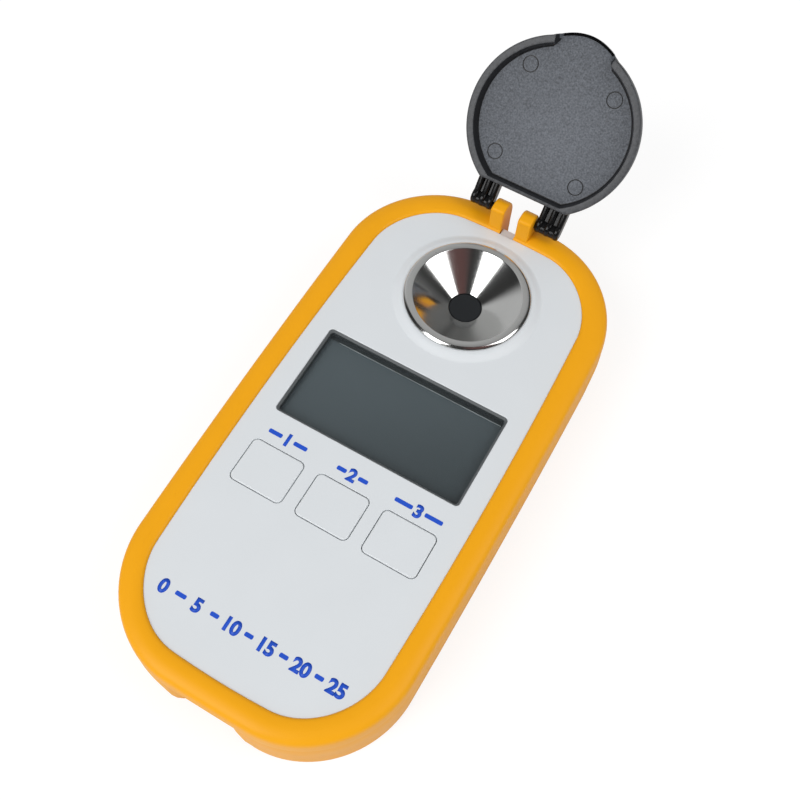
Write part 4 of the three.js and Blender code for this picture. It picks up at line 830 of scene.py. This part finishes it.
# Painted reflection: the floor is a little lighter about a point near the lid's middle, under the fine
# speckle
closed_to_open = Matrix.Translation((0, HINGE_Y, HINGE_Z)) @ Matrix.Rotation(-LID_OPEN, 4, "X")
nodes, link = lid_grained.node_tree.nodes, lid_grained.node_tree.links.new
away = nodes.new("ShaderNodeVectorMath")
away.operation = "DISTANCE"
away.inputs[1].default_value = closed_to_open @ Vector((1.5, LID_Y + 3, LID_FLOOR)) / 1000
link(nodes["Texture Coordinate"].outputs["Object"], away.inputs[0])
painted_reflection_pool = nodes.new("ShaderNodeMapRange")
painted_reflection_pool.inputs["From Max"].default_value = 0.018
painted_reflection_pool.inputs["To Min"].default_value = 0.155
painted_reflection_pool.inputs["To Max"].default_value = 0.045
link(away.outputs["Value"], painted_reflection_pool.inputs["Value"])
blend = nodes.new("ShaderNodeMath")
blend.operation = "MULTIPLY_ADD"
blend.inputs[1].default_value = 0.8
link(nodes["Noise Texture"].outputs["Fac"], blend.inputs[0])
link(painted_reflection_pool.outputs["Result"], blend.inputs[2])
link(blend.outputs[0], nodes["Map Range"].inputs["Value"])

# Each ring of the inside has an inset and a height where the wall stands, an inset at the chord, and an
# inset and a height where the wall gives way to the tab
LID_MIDDLE = 9.0
inside = [
    (LID_MIDDLE, LID_FLOOR, LID_MIDDLE, LID_MIDDLE, LID_FLOOR),
    (2.6, LID_FLOOR, 1.9, 2.6, LID_FLOOR),
    (2.2, LID_FLOOR, 1.4, 2.1, LID_FLOOR + 0.01),
    (2.04, LID_FLOOR - 0.06, 1.22, 1.7, LID_FLOOR + 0.06),
    (1.94, LID_FLOOR - 0.3, 1.1, 1.3, LID_FLOOR + 0.16),
    (1.62, LID_RIM + 0.3, 0.86, 0.9, LID_FLOOR + 0.32),
    (1.5, LID_RIM + 0.1, 0.76, 0.55, LID_FLOOR + 0.52),
    (1.3, LID_RIM, 0.6, 0.3, LID_FLOOR + 0.7),
    (0.35, LID_RIM, 0.3, 0.15, LID_FLOOR + 0.85),
    (0.12, LID_RIM + 0.08, 0.12, 0.05, LID_FLOOR + 0.97),
    (0.0, LID_RIM + 0.3, 0.0, 0.0, LID_FLOOR + 1.1),
]
lid_rings = []
for wall_inset, wall_z, chord_inset, tab_inset, tab_z in inside:
    on_wall = lid_outline(wall_inset, TAB_LENGTH if wall_inset < 1 else 0, chord_inset)
    on_tab = lid_outline(tab_inset, TAB_LENGTH * (1 - tab_inset / LID_MIDDLE))
    t = np.clip((np.abs(on_tab[:, 0]) - TAB_SLOT_HALF) / TAB_BLEND, 0, 1)
    share = np.where(on_tab[:, 1] < 0, t * t * (3 - 2 * t), 1.0)
    ring = on_wall * share[:, None] + on_tab * (1 - share[:, None])
    lid_rings.append(at_height(ring, wall_z * share + tab_z * (1 - share)))
# Each ring of the outside has its inset, its share of the rise from the rim to the crown, and of the tab
outside = [
    (0.0, 0.42, 1), (0.06, 0.52, 1), (0.25, 0.6, 1), (0.6, 0.67, 1), (1.2, 0.74, 1), (2.5, 0.8, 0.7),
    (4.5, 0.87, 0.3), (7.0, 0.93, 0.1), (10.0, 0.975, 0), (13.0, 0.995, 0),
]
for inset, rise, tab in outside:
    lid_rings.append(at_height(lid_outline(inset, TAB_LENGTH * tab), LID_RIM + rise * (LID_CROWN - LID_RIM)))
lid = surface("lid_shell", lid_rings)
lid.data.transform(Matrix.Translation((0, LID_Y, 0)))

EJECTOR = 9.2
MARK_INNER, MARK_OUTER, MARK_DEPTH = 1.55 - 0.12, 1.55 + 0.12, 0.22
marks = []
for x in (-EJECTOR, EJECTOR):
    for y in (-EJECTOR, EJECTOR):
        section = [(radius, -OVERRUN) for radius in (MARK_INNER, MARK_OUTER)]
        section += [(MARK_OUTER, MARK_DEPTH), (MARK_INNER, MARK_DEPTH)]
        mark = revolved("tool", section, 0, 40)
        mark.data.transform(Matrix.Translation((x, LID_Y + y, LID_FLOOR)))
        marks.append(mark)
worked(lid, "DIFFERENCE", marks)

# Arms: three rounded bars on a web, each with a knob where it wraps the pin
KNOB_Y, KNOB_Z, KNOB = -0.45, 0.2, 1.75
WRAP = 1.15
BAR_WIDTH, BAR_EDGE = 1.3, 0.5
WEB_INSET = 0.3
ARMS = ((-10.3, -5.4), (LUG_OUTER + 0.2, 10.2))
chord_y = LID_Y + LID_CHORD - 0.5
bar_profile = np.concatenate([
    [(chord_y, -1.15), (-3.2, -1.1), (-2.1, -1.0)],
    arc(KNOB_Y, KNOB_Z, KNOB, KNOB, -138, 90, 30),
    [(chord_y, KNOB_Z + KNOB - 0.1)],
])
web_profile = np.concatenate([
    [(chord_y, -0.1), (-1.6, -0.2)],
    arc(0, 0, WRAP, WRAP, -110, 60, 20),
    [(KNOB_Y, KNOB_Z + KNOB - 0.4), (chord_y, KNOB_Z + KNOB - 0.4)],
])
for low, high in ARMS:
    starts = np.linspace(low, high - BAR_WIDTH, 3)
    bars = [along_x(bar_profile, soft_ends(start, start + BAR_WIDTH, BAR_EDGE, 7)) for start in starts]
    worked(lid, "UNION", [along_x(web_profile, [(low + WEB_INSET, 0), (high - WEB_INSET, 0)]), *bars])

# The grain covers the floor and the lower part of the tab; arms and tab are glossy, and the edge is satin
TAB_GRAIN = 0.45
TAB_START = 14.0
middles, facing = face_places(lid)
reach = np.hypot(middles[:, 0], middles[:, 1] - LID_Y)
above_floor = middles[:, 2] - LID_FLOOR
on_floor = (np.abs(above_floor) < 0.02) & (facing[:, 2] < -0.99) & (reach < LID_RADIUS - 0.9)
by_tab = (np.abs(middles[:, 0]) < TAB_SLOT_HALF + TAB_BLEND) & (middles[:, 1] < LID_Y) & (reach > TAB_START)
on_tab = by_tab & (above_floor > 0)
on_floor |= on_tab & (above_floor < TAB_GRAIN)
on_arm = middles[:, 1] > LID_Y + LID_CHORD + 0.02
on_edge = (middles[:, 2] < LID_RIM + 0.06) | (reach > LID_RADIUS - 0.4)
zones = np.select([on_floor, on_arm | on_tab, on_edge], [1, 2, 3], 0)
lid.data.transform(closed_to_open)
fitted(lid, "lid", [lid_black, lid_grained, lid_gloss, lid_satin], ["lid"], 30, zones)


# Inner pieces and fasteners: the solids of the frame stay, each with a finish for what it is made of. The
# hinge pins instead take painted shade.
# Painted shade: the hinge pins are steel made near black, where they show in the shaded gap by the lugs
pin_painted_shade = finish("pin_painted_shade", (0.03, 0.03, 0.032), 0.4, grain=0.05, Metallic=1.0)
finishes = {
    "prism_glass": finish("prism_glass", (0.009, 0.011, 0.013), 0.1, grain=0.005, Specular_IOR_Level=0.35),
    "lens_glass": finish("lens_glass", (0.75, 0.78, 0.8), 0.03, grain=0.005, Transmission_Weight=0.9),
    "lamp_lens": finish("lamp_lens", (0.85, 0.78, 0.5), 0.12, grain=0.01, Transmission_Weight=0.4),
    "zinc_steel": finish("zinc_steel", (0.58, 0.57, 0.54), 0.3, grain=0.08, Metallic=1.0),
    "polished_steel": bright_steel,
    "brass": finish("brass", (0.62, 0.46, 0.17), 0.28, grain=0.05, Metallic=1.0),
    "rubber": finish("rubber", (0.02, 0.021, 0.022), 0.75, grain=0.2),
    "circuit_board": finish(
        "circuit_board", (0.02, 0.13, 0.045), 0.4, mottle=0.15, mottle_size=2.5, grain=0.15,
    ),
    "battery_jacket": finish("battery_jacket", (0.03, 0.1, 0.32), 0.25, mottle=0.08, Coat_Weight=0.6),
    "black_plastic": finish("black_plastic", (0.03, 0.031, 0.033), 0.45, mottle=0.1, grain=0.1),
    "orange_plastic": orange_plastic,
    "white_plastic": white_plastic,
    "display_glass": cell_grey,
    "window": clear_window,
    "lid_plastic": lid_black,
}
for name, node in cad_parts.items():
    for place in node.material_slots:
        slot = place.material.name.split(".")[0] if place.material else "black_plastic"
        place.material = pin_painted_shade if name.startswith("hinge_pin") else finishes[slot]


# Table and light: a pale table, two soft boxes right and left of the camera, and a pale studio round them.
table_material = bpy.data.materials.new("table")
table_material.use_nodes = True
nodes, link = table_material.node_tree.nodes, table_material.node_tree.links.new
matt = nodes["Principled BSDF"]
matt.inputs["Base Color"].default_value = (0.8, 0.8, 0.8, 1)
matt.inputs["Roughness"].default_value = 0.9
seen = nodes.new("ShaderNodeLightPath")
shaded = nodes.new("ShaderNodeBsdfDiffuse")
shaded.inputs["Color"].default_value = (0.3, 0.3, 0.3, 1)
bright = nodes.new("ShaderNodeEmission")
bright.inputs["Strength"].default_value = 0.76
both = nodes.new("ShaderNodeAddShader")
pick = nodes.new("ShaderNodeMixShader")
link(shaded.outputs["BSDF"], both.inputs[0])
link(bright.outputs["Emission"], both.inputs[1])
link(seen.outputs["Is Camera Ray"], pick.inputs["Fac"])
link(matt.outputs["BSDF"], pick.inputs[1])
link(both.outputs["Shader"], pick.inputs[2])
link(pick.outputs["Shader"], nodes["Material Output"].inputs["Surface"])
TABLE_HALF = 2
corners = [(-TABLE_HALF, -TABLE_HALF, 0), (TABLE_HALF, -TABLE_HALF, 0), (TABLE_HALF, TABLE_HALF, 0),
           (-TABLE_HALF, TABLE_HALF, 0)]
table_mesh = bpy.data.meshes.new("table")
table_mesh.from_pydata(corners, [], [(0, 1, 2, 3)])
table = bpy.data.objects.new("table", table_mesh)
table_mesh.materials.append(table_material)
bpy.context.collection.objects.link(table)


def towards(azimuth, elevation):
    """Unit vector at an azimuth and an elevation in degrees."""
    around, up = math.radians(azimuth), math.radians(elevation)
    return (math.cos(up) * math.cos(around), math.cos(up) * math.sin(around), math.sin(up))


def soft_box(name, azimuth, elevation, power, width, height, distance=0.8):
    """Rectangular area light at a distance along the direction of its azimuth and elevation. It looks back
    at the middle of the case."""
    light = bpy.data.lights.new(name, "AREA")
    light.shape = "RECTANGLE"
    light.size, light.size_y = width, height
    light.energy = power
    lamp = bpy.data.objects.new(name, light)
    lamp.matrix_world = (
        Matrix.Rotation(math.radians(azimuth + 90), 4, "Z")
        @ Matrix.Rotation(math.radians(90 - elevation), 4, "X")
        @ Matrix.Translation((0, 0, distance))
    )
    bpy.context.collection.objects.link(lamp)


soft_box("box_right", 12, 47, 1.62, 0.34, 0.5)
soft_box("box_front", -113, 45, 2.72, 0.34, 0.5)

# The studio is plain for soft light. Mirrors see it dark, with a pale wall over the hinge end, a dimmer one
# beside it, and a faint warm patch between the soft boxes.
world = bpy.data.worlds.new("studio")
scene.world = world
world.use_nodes = True
nodes, link = world.node_tree.nodes, world.node_tree.links.new
way = nodes.new("ShaderNodeTexCoord")


def patch(azimuth, elevation, outer, inner, low, high):
    """Strength that rises by a smooth step from low to high as the angle between the view and a direction
    falls from outer to inner, all in degrees."""
    near = nodes.new("ShaderNodeVectorMath")
    near.operation = "DOT_PRODUCT"
    near.inputs[1].default_value = towards(azimuth, elevation)
    link(way.outputs["Generated"], near.inputs[0])
    ramp = nodes.new("ShaderNodeMapRange")
    ramp.interpolation_type = "SMOOTHSTEP"
    ramp.inputs["From Min"].default_value = math.cos(math.radians(outer))
    ramp.inputs["From Max"].default_value = math.cos(math.radians(inner))
    ramp.inputs["To Min"].default_value = low
    ramp.inputs["To Max"].default_value = high
    link(near.outputs["Value"], ramp.inputs["Value"])
    return ramp.outputs["Result"]


def combined(operation, first, second):
    """One number from two by the named operation. Each is a plain number or another node's output."""
    step = nodes.new("ShaderNodeMath")
    step.operation = operation
    for socket, value in zip(step.inputs, (first, second)):
        if isinstance(value, float):
            socket.default_value = value
        else:
            link(value, socket)
    return step.outputs[0]


warm = patch(-32, 52, 24, 6, 0, 1)
walls = combined("MAXIMUM", patch(130, 28, 52, 38, 0.03, 0.5), patch(72, 42, 31, 23, 0.03, 0.17))
walls = combined("MAXIMUM", walls, patch(105, 80, 17, 7, 0.03, 0.15))
mirrored = combined("MAXIMUM", walls, combined("MULTIPLY", warm, 0.12))
seen = nodes.new("ShaderNodeLightPath")
is_mirror = seen.outputs["Is Glossy Ray"]
soft = combined("MULTIPLY", combined("SUBTRACT", 1.0, is_mirror), patch(-100, 8, 62, 15, 0.49, 0.95))
lit = combined("ADD", soft, combined("MULTIPLY", mirrored, is_mirror))
link(combined("MAXIMUM", lit, seen.outputs["Is Camera Ray"]), nodes["Background"].inputs["Strength"])
hue = nodes.new("ShaderNodeMix")
hue.data_type = "RGBA"
hue.inputs["A"].default_value = (1, 1, 1, 1)
hue.inputs["B"].default_value = (1, 0.5, 0.47, 1)
link(combined("MULTIPLY", warm, is_mirror), hue.inputs["Factor"])
link(hue.outputs["Result"], nodes["Background"].inputs["Color"])
